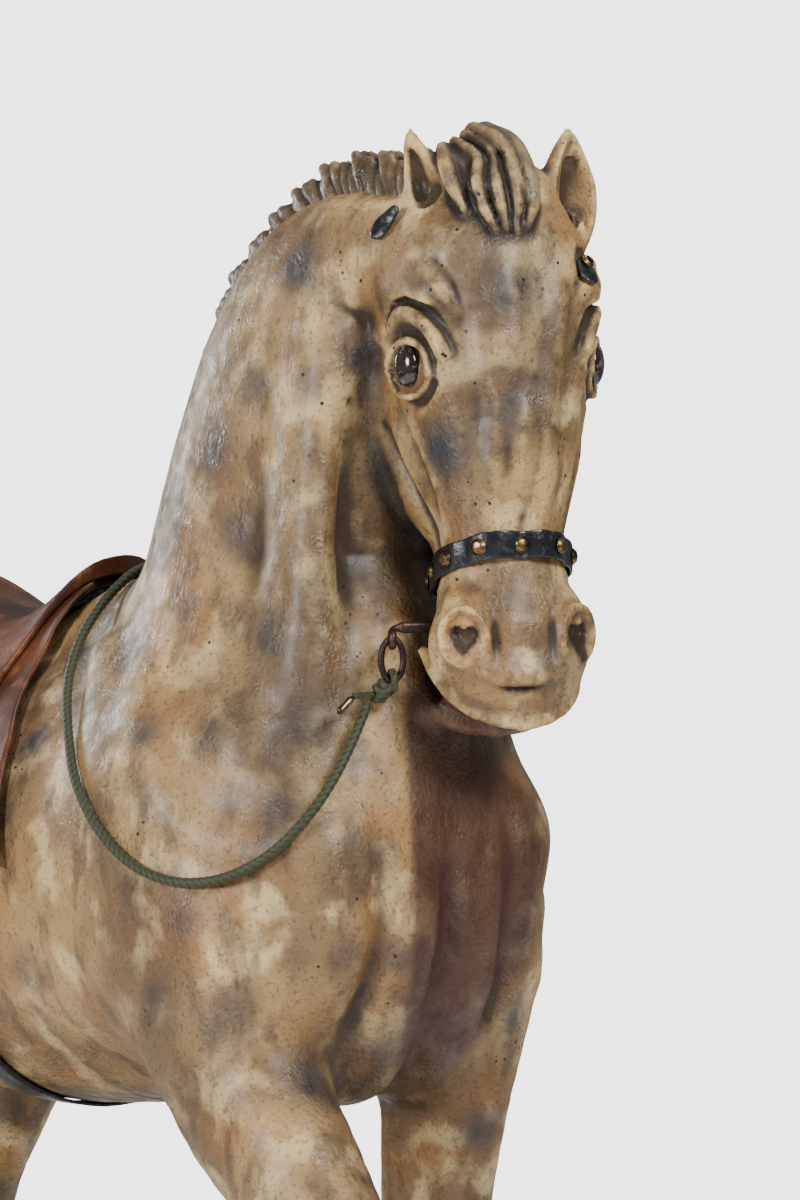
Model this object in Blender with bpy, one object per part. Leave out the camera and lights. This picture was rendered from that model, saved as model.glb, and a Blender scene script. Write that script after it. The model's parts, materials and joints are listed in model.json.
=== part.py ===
import math

import bmesh
import bpy
import numpy as np
from mathutils import Matrix, Vector
from mathutils.bvhtree import BVHTree

# Driving dimensions, in metres
HORSE_HEIGHT = 1.095  # hoof soles to the top of the forelock
BASE_THICKNESS = 0.045

UNIT = HORSE_HEIGHT / 1095  # one design millimetre of the figure
GROUND = BASE_THICKNESS + 0.0003

X_AXIS = np.array([1.0, 0.0, 0.0])


class Frame:
    """Axes that a group of strokes is carved in, in design millimetres."""

    def __init__(self, origin=(0, 0, 0), axes=np.eye(3)):
        self.origin = np.array(origin, float)
        self.axes = np.array(axes, float)

    def local(self, points):
        return (points - self.origin) @ self.axes.T

    def world(self, points):
        return np.asarray(points, float) @ self.axes + self.origin


def head_frame(origin, turn_deg, nod_deg):
    """x to the horse's left, y forward out of the face, z down the face from the poll."""
    turn, nod = math.radians(turn_deg), math.radians(nod_deg)
    ahead = np.array([-math.sin(turn), -math.cos(turn), 0.0])
    left = np.array([math.cos(turn), -math.sin(turn), 0.0])
    down = np.array([0.0, 0.0, -1.0])
    face = ahead * math.cos(nod) - down * math.sin(nod)
    along = ahead * math.sin(nod) + down * math.cos(nod)
    return Frame(origin, [left, face, along])


BODY = Frame()
HEAD_TURN = 24.0
HEAD_NOD = 0.0
HEAD = head_frame((14, -425, 1045), HEAD_TURN, HEAD_NOD)


def smoothed(stations, steps):
    """Stations on the smooth curve through these ones."""
    rows = np.array([[*place, depth, width] for place, depth, width in stations], float)
    if len(rows) < 2:
        return rows
    ends = np.vstack([2 * rows[0] - rows[1], rows, 2 * rows[-1] - rows[-2]])
    made = []
    for a, b, c, d in zip(ends, ends[1:], ends[2:], ends[3:]):
        for t in np.arange(steps) / steps:
            made.append(
                0.5 * (2 * b + (c - a) * t + (2 * a - 5 * b + 4 * c - d) * t**2 + (3 * b - a - 3 * c + d) * t**3)
            )
    made.append(rows[-1])
    return np.array(made)


class Stroke:
    """An oval tube through stations of (place, half depth, half width), joined to the wood or cut from it."""

    def __init__(self, stations, fillet, side=X_AXIS, paired=False, cut=False, frame=BODY, steps=4):
        self.rows = smoothed(stations, steps)
        self.fillet = fillet
        self.side = np.array(side, float) / np.linalg.norm(side)
        self.signs = (1, -1) if paired else (1,)
        self.cut = cut
        self.frame = frame

    def distance(self, points):
        if len(self.rows) == 1:
            rows = np.vstack([self.rows, self.rows])
        else:
            rows = self.rows
        best = np.full(len(points), 1e3)
        for start, end in zip(rows, rows[1:]):
            reach = max(start[3:].max(), end[3:].max()) + self.fillet + 14
            near = ((points > np.minimum(start, end)[:3] - reach)
                    & (points < np.maximum(start, end)[:3] + reach)).all(1)
            if not near.any():
                continue
            along = end[:3] - start[:3]
            off = points[near] - start[:3]
            share = np.clip(off @ along / max(along @ along, 1e-9), 0, 1)
            depth = start[3] + (end[3] - start[3]) * share
            width = start[4] + (end[4] - start[4]) * share
            off = off - share[:, None] * along
            across = (off @ self.side) ** 2
            within = np.maximum((off * off).sum(1) - across, 0)
            scaled = np.sqrt(within / depth**2 + across / width**2)
            slope = np.sqrt(within / depth**4 + across / width**4) + 1e-9
            best[near] = np.minimum(best[near], scaled * (scaled - 1) / slope)
        return best

    def apply(self, points, wood):
        local = self.frame.local(points)
        reach = self.rows[:, 3:].max() + self.fillet + 14
        for sign in self.signs:
            mine = local * np.array([sign, 1, 1])
            low = self.rows[:, :3].min(0) - reach
            high = self.rows[:, :3].max(0) + reach
            near = ((mine > low) & (mine < high)).all(1)
            if not near.any():
                continue
            mass = self.distance(mine[near])
            if self.cut:
                wood[near] = -blend(-wood[near], mass, self.fillet)
            else:
                wood[near] = blend(wood[near], mass, self.fillet)
        return wood

    def balls(self):
        """(centre, radii matrix) of rough balls that fill the stroke, in design millimetres."""
        for sign in self.signs:
            flip = np.array([sign, 1, 1])
            for row in self.rows:
                yield self.frame.world(row[:3] * flip), self.frame.axes.T @ np.diag(flip) @ self.oval(row)

    def oval(self, row):
        across = np.outer(self.side, self.side)
        return row[3] * (np.eye(3) - across) + row[4] * across


def blend(a, b, fillet):
    """The nearer of two distances, with a fillet of this size where they meet."""
    share = np.clip(0.5 + 0.5 * (a - b) / fillet, 0, 1)
    return a + (b - a) * share - fillet * share * (1 - share)


def trunk():
    barrel = Stroke([((0, -245, 585), 143, 138), ((0, -120, 578), 162, 150), ((0, 20, 562), 162, 158),
                     ((0, 150, 570), 161, 162), ((0, 290, 600), 150, 148), ((0, 325, 620), 132, 132)], 30, steps=12)
    withers = Stroke([((0, -150, 728), 58, 60), ((0, -60, 736), 44, 46), ((0, 30, 690), 40, 52)], 45)
    croup = Stroke([((0, 200, 668), 70, 84), ((0, 275, 660), 84, 88)], 60)
    haunch = Stroke([((85, 290, 600), 118, 72), ((80, 325, 580), 105, 66)], 50, paired=True)
    shoulder = Stroke([((88, -235, 645), 92, 66), ((86, -208, 560), 88, 60)], 45, paired=True)
    breast = Stroke([((66, -332, 612), 50, 54), ((60, -322, 548), 50, 48)], 36, paired=True)
    brisket = Stroke([((30, -322, 560), 56, 40), ((28, -304, 496), 58, 38)], 26, paired=True)
    return [barrel, withers, croup, haunch, shoulder, breast, brisket]


def muscles():
    """Raised bands and sunk furrows of the neck, shoulder and breast."""
    band = Stroke([((46, -312, 950), 18, 14), ((57, -308, 870), 24, 16), ((66, -312, 780), 26, 18),
                   ((74, -318, 700), 26, 20)], 22, paired=True)
    windpipe = Stroke([((0, -314, 900), 20, 24), ((0, -310, 800), 22, 28), ((0, -338, 706), 26, 30)], 26)
    blade = Stroke([((84, -128, 730), 12, 12), ((110, -170, 680), 20, 20), ((124, -220, 620), 24, 22),
                    ((124, -280, 570), 26, 22)], 26, paired=True)
    hollow = Stroke([((128, -258, 736), 18, 10), ((143, -280, 700), 22, 12), ((148, -306, 664), 20, 12),
                     ((138, -338, 652), 12, 8)], 30, paired=True, cut=True)
    arm = Stroke([((122, -300, 560), 30, 20), ((118, -262, 490), 36, 22)], 24, paired=True)
    sternum = Stroke([((0, -392, 600), 8, 7), ((0, -386, 540), 9, 7), ((0, -370, 480), 10, 8), ((0, -340, 446), 9, 8)],
                     10, cut=True)
    fold = Stroke([((58, -392, 640), 8, 7), ((56, -386, 560), 8, 7), ((62, -362, 500), 8, 7)],
                  12, paired=True, cut=True)
    return [band, windpipe, blade, hollow, arm, sternum, fold]


NECK = [((0, -227, 690), 149, 110), ((0, -217, 784), 114, 86), ((0, -238, 886), 99, 72),
        ((0, -263, 950), 86, 62), ((0, -297, 994), 58, 54), ((0, -350, 1006), 44, 46), ((4, -398, 1006), 40, 44)]


def neck():
    return [Stroke(NECK, 40, steps=10)]


def mane():
    """A clipped mane: tufts standing along the crest from the poll towards the withers."""
    rows = smoothed(NECK, 24)
    spots = []
    for here, beyond in zip(rows, rows[1:]):
        ahead = beyond[:3] - here[:3]
        outward = np.array([0, ahead[2], -ahead[1]]) / max(np.hypot(ahead[1], ahead[2]), 1e-9)
        spots.append((here[:3] + outward * here[3], outward, ahead / np.linalg.norm(ahead)))
    lengths = np.concatenate([[0], np.cumsum([np.linalg.norm(b[0] - a[0]) for a, b in zip(spots, spots[1:])])])
    strokes = [Stroke([(tuple(spots[i][0] - 10 * spots[i][1]), 14, 13) for i in range(40, len(spots), 12)], 8)]
    count = 26
    for i in range(count):
        share = i / (count - 1)
        at = int(np.searchsorted(lengths, lengths[-1] * (0.97 - 0.66 * share)))
        root, outward, ahead = spots[min(at, len(spots) - 1)]
        tall = (20 - 10 * share**2) * (1.12 if i % 2 else 0.92)
        root = root - 6 * outward + np.array([1.6 if i % 2 else -1.6, 0, 0])
        tip = root + (tall + 6) * outward - 0.35 * tall * ahead
        strokes.append(Stroke([(tuple(root), 7, 12), (tuple((root + tip) / 2 + 1.5 * ahead), 6.5, 10),
                               (tuple(tip), 3, 5)], 3, steps=2))
    return strokes


def standing_fore(x, y):
    return [
        Stroke([((x + 16, y - 5, 515), 66, 46), ((x + 6, y - 5, 440), 52, 40), ((x, y, 340), 38, 35),
                ((x, y, 262), 27, 27), ((x, y - 3, 228), 30, 29), ((x, y + 2, 195), 23, 22),
                ((x, y + 4, 130), 19, 18), ((x, y + 4, 92), 25, 24), ((x, y - 8, 60), 21, 22),
                ((x, y - 18, 38), 26, 27)], 30),
        Stroke([((x, y - 26, -6), 44, 40), ((x, y - 18, 34), 30, 29)], 5),
    ]


def raised_fore(x, y):
    return [
        Stroke([((x + 10, y + 26, 535), 76, 54), ((x + 6, y - 8, 458), 60, 48), ((x + 4, y - 66, 402), 49, 42),
                ((x + 4, y - 116, 356), 38, 33), ((x + 6, y - 150, 316), 33, 30), ((x + 6, y - 156, 288), 27, 26),
                ((x + 6, y - 138, 222), 20, 19), ((x + 6, y - 124, 180), 25, 24), ((x + 6, y - 96, 152), 21, 22),
                ((x + 6, y - 76, 140), 26, 26)], 30),
        Stroke([((x + 6, y - 66, 128), 30, 29), ((x + 6, y - 46, 92), 42, 38)], 5),
    ]


def hind(x, y, back):
    """A hind leg: stifle, gaskin, hock, cannon and hoof, its foot behind y by this much."""
    return [
        Stroke([((x + 8, y + 40, 560), 100, 62), ((x + 6, y + 12, 470), 84, 52), ((x + 2, y + 24, 390), 60, 42),
                ((x, y + 44 + back * 0.4, 322), 42, 31), ((x, y + 62 + back * 0.8, 262), 35, 26),
                ((x, y + 64 + back, 230), 27, 23), ((x, y + 56 + back, 160), 21, 19),
                ((x, y + 54 + back, 100), 26, 24), ((x, y + 42 + back, 62), 21, 22),
                ((x, y + 32 + back, 38), 26, 27)], 34),
        Stroke([((x, y + 22 + back, -6), 44, 40), ((x, y + 30 + back, 34), 30, 29)], 5),
    ]


SKULL = [((0, -28, 5), 36, 46), ((0, -22, 50), 56, 62), ((0, -20, 95), 64, 66), ((0, -15, 140), 58, 58),
         ((0, -8, 185), 46, 46), ((0, -3, 228), 38, 40), ((0, 3, 262), 38, 44), ((0, 8, 298), 36, 46)]
EYE = np.array([53.0, -17.0, 111.0])
EYE_BALL = 17


def side_of_face(s, h):
    """The point of the skull's side at this depth from the front and this height."""
    tops = [row[0][2] for row in SKULL]
    middle, depth, width = (np.interp(h, tops, [pick(row) for row in SKULL])
                            for pick in (lambda row: row[0][1], lambda row: row[1], lambda row: row[2]))
    return width * math.sqrt(max(1 - ((s - middle) / depth) ** 2, 0.02)), s, h


def front_of_face(x, h):
    tops = [row[0][2] for row in SKULL]
    middle, depth, width = (np.interp(h, tops, [pick(row) for row in SKULL])
                            for pick in (lambda row: row[0][1], lambda row: row[1], lambda row: row[2]))
    return x, middle + depth * math.sqrt(max(1 - (x / width) ** 2, 0.02)), h


def arc_over_eye(ahead, reach, rise, start, end, count, sunk):
    """Points of an arc over the eye, lying in the side of the face."""
    places = []
    for turn in np.radians(np.linspace(start, end, count)):
        x, s, h = side_of_face(EYE[1] + 0.95 * (ahead + reach * math.cos(turn)), EYE[2] - rise * math.sin(turn))
        places.append((x - sunk, s, h))
    return places


def eyes():
    normal, across = np.array([0.956, 0.292, 0]), np.array([-0.292, 0.956, 0])
    down = np.array([0, 0, 1.0])
    lid = []
    for turn in np.linspace(0, 2 * math.pi, 13):
        ring = EYE + normal * 9.5 + across * 15.5 * math.cos(turn) + down * 16.5 * math.sin(turn)
        lid.append((tuple(ring), 6, 6))
    socket = Stroke([(tuple(EYE + normal * 34 + across * 4 - down * 12), 22, 22)], 18, frame=HEAD, paired=True,
                    cut=True)
    ball = Stroke([(tuple(EYE), EYE_BALL, EYE_BALL)], 2, frame=HEAD, paired=True)
    lids = Stroke(lid, 3, frame=HEAD, paired=True, steps=1)
    fold = [(place, 6, 6) for place in arc_over_eye(8, 36, 40, 200, 10, 10, 0)]
    brow = [(place, 8, 8) for place in arc_over_eye(6, 54, 64, 180, 42, 9, 1)]
    return [socket, ball, lids, Stroke(fold, 6, frame=HEAD, paired=True, steps=1),
            Stroke(brow, 9, frame=HEAD, paired=True, steps=1)]


def head():
    skull = Stroke(SKULL, 16, frame=HEAD)
    jaw = Stroke([((0, -86, 112), 50, 54), ((0, -76, 155), 48, 52), ((0, -56, 195), 36, 44), ((0, -35, 232), 25, 37),
                  ((0, -19, 268), 23, 35), ((0, -10, 306), 24, 34), ((0, -4, 322), 20, 30)], 16, frame=HEAD)
    cheek = Stroke([((44, -84, 92), 50, 24), ((44, -76, 132), 50, 24), ((34, -52, 180), 34, 18)],
                   20, frame=HEAD, paired=True)
    muzzle = Stroke([((0, 14, 292), 38, 50), ((0, 18, 314), 30, 46)], 14, frame=HEAD)
    wing = Stroke([((33, 24, 272), 19, 15), ((37, 20, 288), 21, 16)], 10, frame=HEAD, paired=True)
    pit = Stroke([((44, 44, 276), 9, 7), ((46, 42, 288), 9, 7)], 6, frame=HEAD, paired=True, cut=True)
    mouth = Stroke([((54, -26, 282), 4, 4), ((52, -4, 314), 6, 6), ((32, 30, 338), 5, 5), ((0, 44, 341), 4, 4)],
                   5, frame=HEAD, paired=True, cut=True)
    bridge = Stroke([((x, s - 4, h), 8, 8) for x, s, h in (front_of_face(*spot) for spot in
                    [(38, 66), (32, 104), (23, 150), (17, 200), (16, 240)])], 9, frame=HEAD, paired=True)
    furrow = Stroke([((x, s + 3, h), 5, 4) for x, s, h in (front_of_face(*spot) for spot in
                    [(8, 34), (10, 70), (8, 110), (4, 140)])], 9, frame=HEAD, cut=True)
    crest = Stroke([((x - 4, s, h), 8, 8) for x, s, h in (side_of_face(*spot) for spot in
                   [(-34, 146), (-26, 172), (-16, 204)])], 9, frame=HEAD, paired=True)
    return [skull, jaw, cheek, muzzle, wing, bridge, furrow, crest, pit, mouth] + eyes() + ears() + forelock()


def ears():
    turned = (0.82, -0.57, 0)
    shell = Stroke([((47, -34, 26), 20, 18), ((50, -34, 6), 20, 23), ((53, -33, -12), 17, 22),
                    ((55, -31, -28), 10, 13), ((55, -29, -42), 3, 4)], 9, frame=HEAD, paired=True, side=turned)
    hollow = Stroke([((56, -20, 18), 8, 8), ((60, -20, 2), 13, 15), ((62, -20, -12), 12, 14),
                     ((61, -20, -26), 7, 8), ((58, -22, -37), 2, 2)], 3, frame=HEAD, paired=True, cut=True, side=turned)
    return [shell, hollow]


def forelock():
    root = Stroke([((-12, -38, -20), 24, 32), ((-14, -16, -18), 20, 30), ((-14, -2, -4), 14, 26)], 8, frame=HEAD)
    locks = [
        [(-34, -22, -34), (-40, 0, -12), (-34, 14, 8), (-24, 22, 26)],
        [(-22, -22, -42), (-28, 6, -18), (-22, 17, 6), (-12, 24, 26)],
        [(-8, -24, -44), (-9, 8, -22), (-8, 18, 0), (2, 24, 22)],
        [(8, -26, -40), (13, 2, -22), (14, 15, -2), (12, 22, 18)],
    ]
    return [root] + [Stroke([(place, size, size + 1) for place, size in zip(lock, (9, 10, 9, 4))], 3, frame=HEAD)
                     for lock in locks]


def tail():
    dock = [((0, 430, 676), 26, 26), ((0, 466, 650), 28, 30), ((0, 478, 560), 34, 38), ((0, 470, 420), 36, 40),
            ((0, 458, 300), 28, 30), ((0, 452, 214), 12, 14)]
    strokes = [Stroke(dock, 14)]
    for x in (-26, 0, 26):
        strokes.append(Stroke([((x * 0.5, 470, 650), 16, 12), ((x, 492, 560), 18, 13), ((x * 1.1, 488, 430), 18, 13),
                               ((x * 0.8, 470, 310), 14, 11), ((x * 0.3, 456, 216), 8, 7)], 4))
    return strokes


def hoof_soles():
    """(middle, outward normal) of the flat underside of each hoof."""
    return [((72, -310, 0), (0, 0, -1)), ((80, 240, 0), (0, 0, -1)), ((-84, 325, 0), (0, 0, -1)),
            ((-102, -338, 96), (0, 0.5, -0.87))]


GROUPS = [
    (1, trunk() + neck() + standing_fore(72, -287) + raised_fore(-108, -290) + hind(80, 215, 0) + hind(-84, 240, 60)
     + muscles()),
    (14, head()),
    (3, mane()),
    (12, tail()),
]


def carved(points):
    """Distance of each point from the carved surface, negative in the wood, in design millimetres."""
    wood = np.full(len(points), 1e3)
    for fillet, strokes in GROUPS:
        mass = np.full(len(points), 1e3)
        for stroke in strokes:
            mass = stroke.apply(points, mass)
        wood = blend(wood, mass, fillet)
    for middle, normal in hoof_soles():
        off = points - np.array(middle)
        beyond = off @ (np.array(normal) / np.linalg.norm(normal))
        near = np.linalg.norm(off, axis=1) < 75
        wood[near] = np.maximum(wood[near], beyond[near])
    return wood


HEAD_CENTRE = HEAD.world([0, -20, 130])
MAGNIFIED = 170.0


def swelling(power):
    """Distances from the head's centre before and after the space round the head is enlarged."""
    plain = np.linspace(0, 3000, 600)
    rate = 1 + (power - 1) / (1 + (plain / MAGNIFIED) ** 4)
    return plain, np.concatenate([[0], np.cumsum((rate[1:] + rate[:-1]) / 2 * np.diff(plain))])


def swell(points, power, back=False):
    plain, grown = swelling(power)
    if back:
        plain, grown = grown, plain
    off = points - HEAD_CENTRE
    far = np.linalg.norm(off, axis=1)
    return HEAD_CENTRE + off * (np.interp(far, plain, grown) / np.maximum(far, 1e-9))[:, None]


def coordinates(mesh):
    flat = np.empty(len(mesh.vertices) * 3)
    mesh.vertices.foreach_get("co", flat)
    return flat.reshape(-1, 3)


def place(mesh, points):
    mesh.vertices.foreach_set("co", np.asarray(points, np.float32).ravel())
    mesh.update()


def onto_surface(points, normals, times):
    step = 0.6
    for _ in range(times):
        here = carved(points)
        slope = np.maximum((carved(points + step * normals) - here) / step, 0.4)
        points = points - np.clip(here / slope, -6, 6)[:, None] * normals
    return points


def normals_of(mesh, points):
    place(mesh, points)
    flat = np.empty(len(mesh.vertices) * 3)
    mesh.vertex_normals.foreach_get("vector", flat)
    return flat.reshape(-1, 3)


def skin(name, voxel, power, passes=2):
    """The horse's surface as one closed mesh, in metres, with its finest faces on the head."""
    work = bmesh.new()
    for stroke in [stroke for _, strokes in GROUPS for stroke in strokes if not stroke.cut]:
        for centre, radii in stroke.balls():
            matrix = Matrix.Translation(Vector(centre)) @ Matrix(radii.tolist()).to_4x4()
            bmesh.ops.create_icosphere(work, subdivisions=2, radius=1, matrix=matrix)
    mesh = bpy.data.meshes.new(name)
    work.to_mesh(mesh)
    work.free()
    horse = bpy.data.objects.new(name, mesh)
    bpy.context.scene.collection.objects.link(horse)
    place(mesh, swell(coordinates(mesh), power))
    for _ in range(passes):
        remesh = horse.modifiers.new("even", "REMESH")
        remesh.mode = "VOXEL"
        remesh.voxel_size = voxel
        bpy.context.view_layer.update()
        shaped = bpy.data.meshes.new_from_object(horse.evaluated_get(bpy.context.evaluated_depsgraph_get()))
        horse.modifiers.clear()
        horse.data = shaped
        points = swell(coordinates(shaped), power, back=True)
        points = onto_surface(points, normals_of(shaped, points), 2)
        place(shaped, swell(points, power))
    place(horse.data, swell(coordinates(horse.data), power, back=True) * UNIT + np.array([0, 0, GROUND]))
    return horse


def to_metres(points):
    """Design millimetres above the base into metres in the row's frame."""
    return np.asarray(points, float) * UNIT + np.array([0, 0, GROUND])


def from_metres(points):
    return (np.asarray(points, float) - np.array([0, 0, GROUND])) / UNIT


def material(name, colour, roughness, metallic=0.0):
    made = bpy.data.materials.new(name)
    made.use_nodes = True
    shader = made.node_tree.nodes["Principled BSDF"]
    shader.inputs["Base Color"].default_value = (*colour, 1)
    shader.inputs["Roughness"].default_value = roughness
    shader.inputs["Metallic"].default_value = metallic
    return made


def solid(name, points, faces, look):
    mesh = bpy.data.meshes.new(name)
    mesh.from_pydata([tuple(map(float, point)) for point in points], [], faces)
    work = bmesh.new()
    work.from_mesh(mesh)
    bmesh.ops.recalc_face_normals(work, faces=work.faces)
    bmesh.ops.triangulate(work, faces=work.faces)
    work.to_mesh(mesh)
    work.free()
    made = bpy.data.objects.new(name, mesh)
    mesh.materials.append(look)
    bpy.context.scene.collection.objects.link(made)
    return made


def joined(name, parts):
    """One solid out of overlapping ones."""
    whole = parts[0]
    for other in parts[1:]:
        merge = whole.modifiers.new("merge", "BOOLEAN")
        merge.operation = "UNION"
        merge.solver = "EXACT"
        merge.object = other
    bpy.context.view_layer.update()
    mesh = bpy.data.meshes.new_from_object(whole.evaluated_get(bpy.context.evaluated_depsgraph_get()))
    whole.modifiers.clear()
    whole.data = mesh
    whole.name = name
    for other in parts[1:]:
        bpy.data.objects.remove(other)
    return whole


def sheet(name, inner, outer, look, closed=False):
    """A solid between two grids of points of the same shape, its rows a closed ring if it is a hoop."""
    rows, columns = inner.shape[:2]
    points = np.concatenate([inner.reshape(-1, 3), outer.reshape(-1, 3)])
    half = rows * columns
    faces = []
    for i in range(rows if closed else rows - 1):
        near, far = i * columns, (i + 1) % rows * columns
        for j in range(columns - 1):
            a, b, c, d = near + j, near + j + 1, far + j + 1, far + j
            faces += [(a, b, c, d), (half + a, half + d, half + c, half + b)]
        if closed:
            for j in (0, columns - 1):
                faces.append((near + j, far + j, half + far + j, half + near + j))
    if closed:
        return solid(name, points, faces, look)
    rim = ([(0, j) for j in range(columns - 1)] + [(i, columns - 1) for i in range(rows - 1)]
           + [(rows - 1, j) for j in range(columns - 1, 0, -1)] + [(i, 0) for i in range(rows - 1, 0, -1)])
    for here, beyond in zip(rim, rim[1:] + rim[:1]):
        a, b = here[0] * columns + here[1], beyond[0] * columns + beyond[1]
        faces.append((a, b, half + b, half + a))
    return solid(name, points, faces, look)


def hoop(name, inner, outer, edge, look):
    """A closed strap: its inner and outer middle lines and half its width as a vector at each point."""
    rings = np.stack([inner - edge, inner + edge, outer + edge, outer - edge], 1)
    count = len(rings)
    faces = []
    for i in range(count):
        j = (i + 1) % count
        for k in range(4):
            m = (k + 1) % 4
            faces.append((4 * i + k, 4 * i + m, 4 * j + m, 4 * j + k))
    return solid(name, rings.reshape(-1, 3), faces, look)


def tube(name, path, radius, sides, look, closed=False):
    """A round bar along a path."""
    path = np.asarray(path, float)
    count = len(path)
    ahead = np.roll(path, -1, 0) - np.roll(path, 1, 0)
    if not closed:
        ahead[0], ahead[-1] = path[1] - path[0], path[-1] - path[-2]
    ahead /= np.linalg.norm(ahead, axis=1, keepdims=True)
    across = np.cross(ahead[0], [0.3, 0.2, 0.93])
    points = []
    for direction, place_ in zip(ahead, path):
        across = across - (across @ direction) * direction
        across /= np.linalg.norm(across)
        up = np.cross(direction, across)
        for turn in np.arange(sides) * 2 * math.pi / sides:
            points.append(place_ + radius * (math.cos(turn) * across + math.sin(turn) * up))
    faces = []
    for i in range(count if closed else count - 1):
        j = (i + 1) % count
        faces += [(i * sides + k, i * sides + (k + 1) % sides, j * sides + (k + 1) % sides, j * sides + k)
                  for k in range(sides)]
    if not closed:
        faces += [tuple(range(sides)), tuple(range((count - 1) * sides, count * sides))]
    return solid(name, points, faces, look)


def dome(name, centre, normal, radius, height, look, flat=0.0):
    """A round-headed stud standing on its flat face."""
    normal = Vector(normal).normalized()
    turn = normal.to_track_quat("Z", "Y").to_matrix()
    profile = [(radius, 0), (radius * 0.92, height * 0.45), (radius * 0.6, height * 0.86)]
    points, sides = [], 8
    for reach, rise in profile:
        for k in range(sides):
            spin = 2 * math.pi * k / sides
            points.append(Vector(centre) + turn @ Vector((reach * math.cos(spin), reach * math.sin(spin), rise)))
    points.append(Vector(centre) + turn @ Vector((0, 0, height)))
    top = len(points) - 1
    faces = [tuple(range(sides))]
    for ring in range(2):
        faces += [(ring * sides + k, ring * sides + (k + 1) % sides, (ring + 1) * sides + (k + 1) % sides,
                   (ring + 1) * sides + k) for k in range(sides)]
    faces += [(2 * sides + k, 2 * sides + (k + 1) % sides, top) for k in range(sides)]
    return solid(name, points, faces, look)


def block(name, low, high, look):
    low, high = np.array(low), np.array(high)
    points = [[(low, high)[(k >> axis) & 1][axis] for axis in range(3)] for k in range(8)]
    faces = [(0, 2, 3, 1), (4, 5, 7, 6), (0, 1, 5, 4), (2, 6, 7, 3), (0, 4, 6, 2), (1, 3, 7, 5)]
    return solid(name, points, faces, look)


for old in list(bpy.data.objects):
    bpy.data.objects.remove(old)

painted = material("painted wood", (0.55, 0.45, 0.32), 0.4)
plain = material("dark wood", (0.16, 0.10, 0.06), 0.6)
brown = material("brown leather", (0.22, 0.09, 0.04), 0.5)
black = material("black leather", (0.02, 0.02, 0.022), 0.5)
brass = material("brass", (0.55, 0.42, 0.25), 0.35, 1.0)
iron = material("dark iron", (0.07, 0.05, 0.05), 0.5, 1.0)
green = material("green cord", (0.13, 0.14, 0.05), 0.8)

# The carved figure
HORSE_FACES = 7200
horse = skin("horse", 12.0, 1.9)
thin = horse.modifiers.new("fewer faces", "DECIMATE")
thin.ratio = HORSE_FACES / (2 * len(horse.data.polygons))
bpy.context.view_layer.update()
carving = bpy.data.meshes.new_from_object(horse.evaluated_get(bpy.context.evaluated_depsgraph_get()))
horse.modifiers.clear()
horse.data = carving
resting = coordinates(carving)
resting[:, 2] = np.maximum(resting[:, 2], GROUND)
place(carving, resting)
carving.materials.append(painted)

# The bit runs through a channel in the mouth
BIT_HALF = 3.5
BIT_PLACE = (-14, 280)  # forward and down in the head's frame
RING_SIDE = 72


def head_point(x, s, h):
    return to_metres(HEAD.world([x, s, h]))


def bar(name, half, reach, look):
    made = block(name, (-reach, BIT_PLACE[0] - half, BIT_PLACE[1] - half),
                 (reach, BIT_PLACE[0] + half, BIT_PLACE[1] + half), look)
    place(made.data, to_metres(HEAD.world(coordinates(made.data))))
    return made


channel = bar("bit channel", BIT_HALF + 0.6, 60, iron)
drill = horse.modifiers.new("bit channel", "BOOLEAN")
drill.operation = "DIFFERENCE"
drill.solver = "EXACT"
drill.object = channel
bpy.context.view_layer.update()
carving = bpy.data.meshes.new_from_object(horse.evaluated_get(bpy.context.evaluated_depsgraph_get()))
horse.modifiers.clear()
horse.data = carving
bpy.data.objects.remove(channel)
surface = BVHTree.FromPolygons([v.co for v in carving.vertices], [p.vertices for p in carving.polygons])

# Stand
BASE_LENGTH, BASE_WIDTH = 1.06, 0.40
base = block("base", (-BASE_WIDTH / 2, -BASE_LENGTH / 2, 0), (BASE_WIDTH / 2, BASE_LENGTH / 2, BASE_THICKNESS), plain)

# Saddle and girth lie on the barrel, in shells at these gaps from the wood
BARREL_AXIS = 590


def barrel_reach(angle, y):
    """Distance in millimetres of the wood from the barrel's axis, the largest one nearby."""
    best = 0
    for da in (-4, 0, 4):
        for dy in (-8, 0, 8):
            turn = math.radians(angle + da)
            out = Vector((math.sin(turn), 0, math.cos(turn)))
            start = Vector(to_metres([0, y + dy, BARREL_AXIS]))
            hit, _, _, gone = surface.ray_cast(start + out * 0.4, -out)
            if hit is not None:
                best = max(best, (0.4 - gone) / UNIT)
    return best


def on_barrel(angle, y, gap):
    reach = barrel_reach(angle, y) + gap
    turn = math.radians(angle)
    return to_metres([math.sin(turn) * reach, y, BARREL_AXIS + math.cos(turn) * reach])


def barrel_sheet(name, angles, front, back, gap, thick, look, columns=8):
    """A leather piece on the barrel; front and back give its y at an angle, thick its thickness."""
    inner, outer = [], []
    for angle in angles:
        ys = np.linspace(front(angle), back(angle), columns)
        inner.append([on_barrel(angle, y, gap) for y in ys])
        outer.append([on_barrel(angle, y, gap + thick(angle, y)) for y in ys])
    return sheet(name, np.array(inner), np.array(outer), look)


def saddle_front(angle):
    return float(np.interp(abs(angle), [0, 10, 21, 36, 57, 92], [-36, -34, -30, -37, -70, -99]))


GIRTH_Y = -10
GIRTH_WIDTH = 30
girth_rows = [[(angle, GIRTH_Y + share * GIRTH_WIDTH) for share in (-0.5, -0.25, 0, 0.25, 0.5)]
              for angle in range(0, 360, 9)]
sheet("girth", np.array([[on_barrel(*spot, 1.2) for spot in row] for row in girth_rows]),
      np.array([[on_barrel(*spot, 3.2) for spot in row] for row in girth_rows]), black, closed=True)

for side, name in ((-1, "right"), (1, "left")):
    barrel_sheet(name + "_saddle_flap", [side * a for a in range(9, 91, 9)],
                 saddle_front, lambda angle: 60 - 0.35 * abs(angle), 5.0, lambda angle, y: 3.0, brown, 8)


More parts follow.
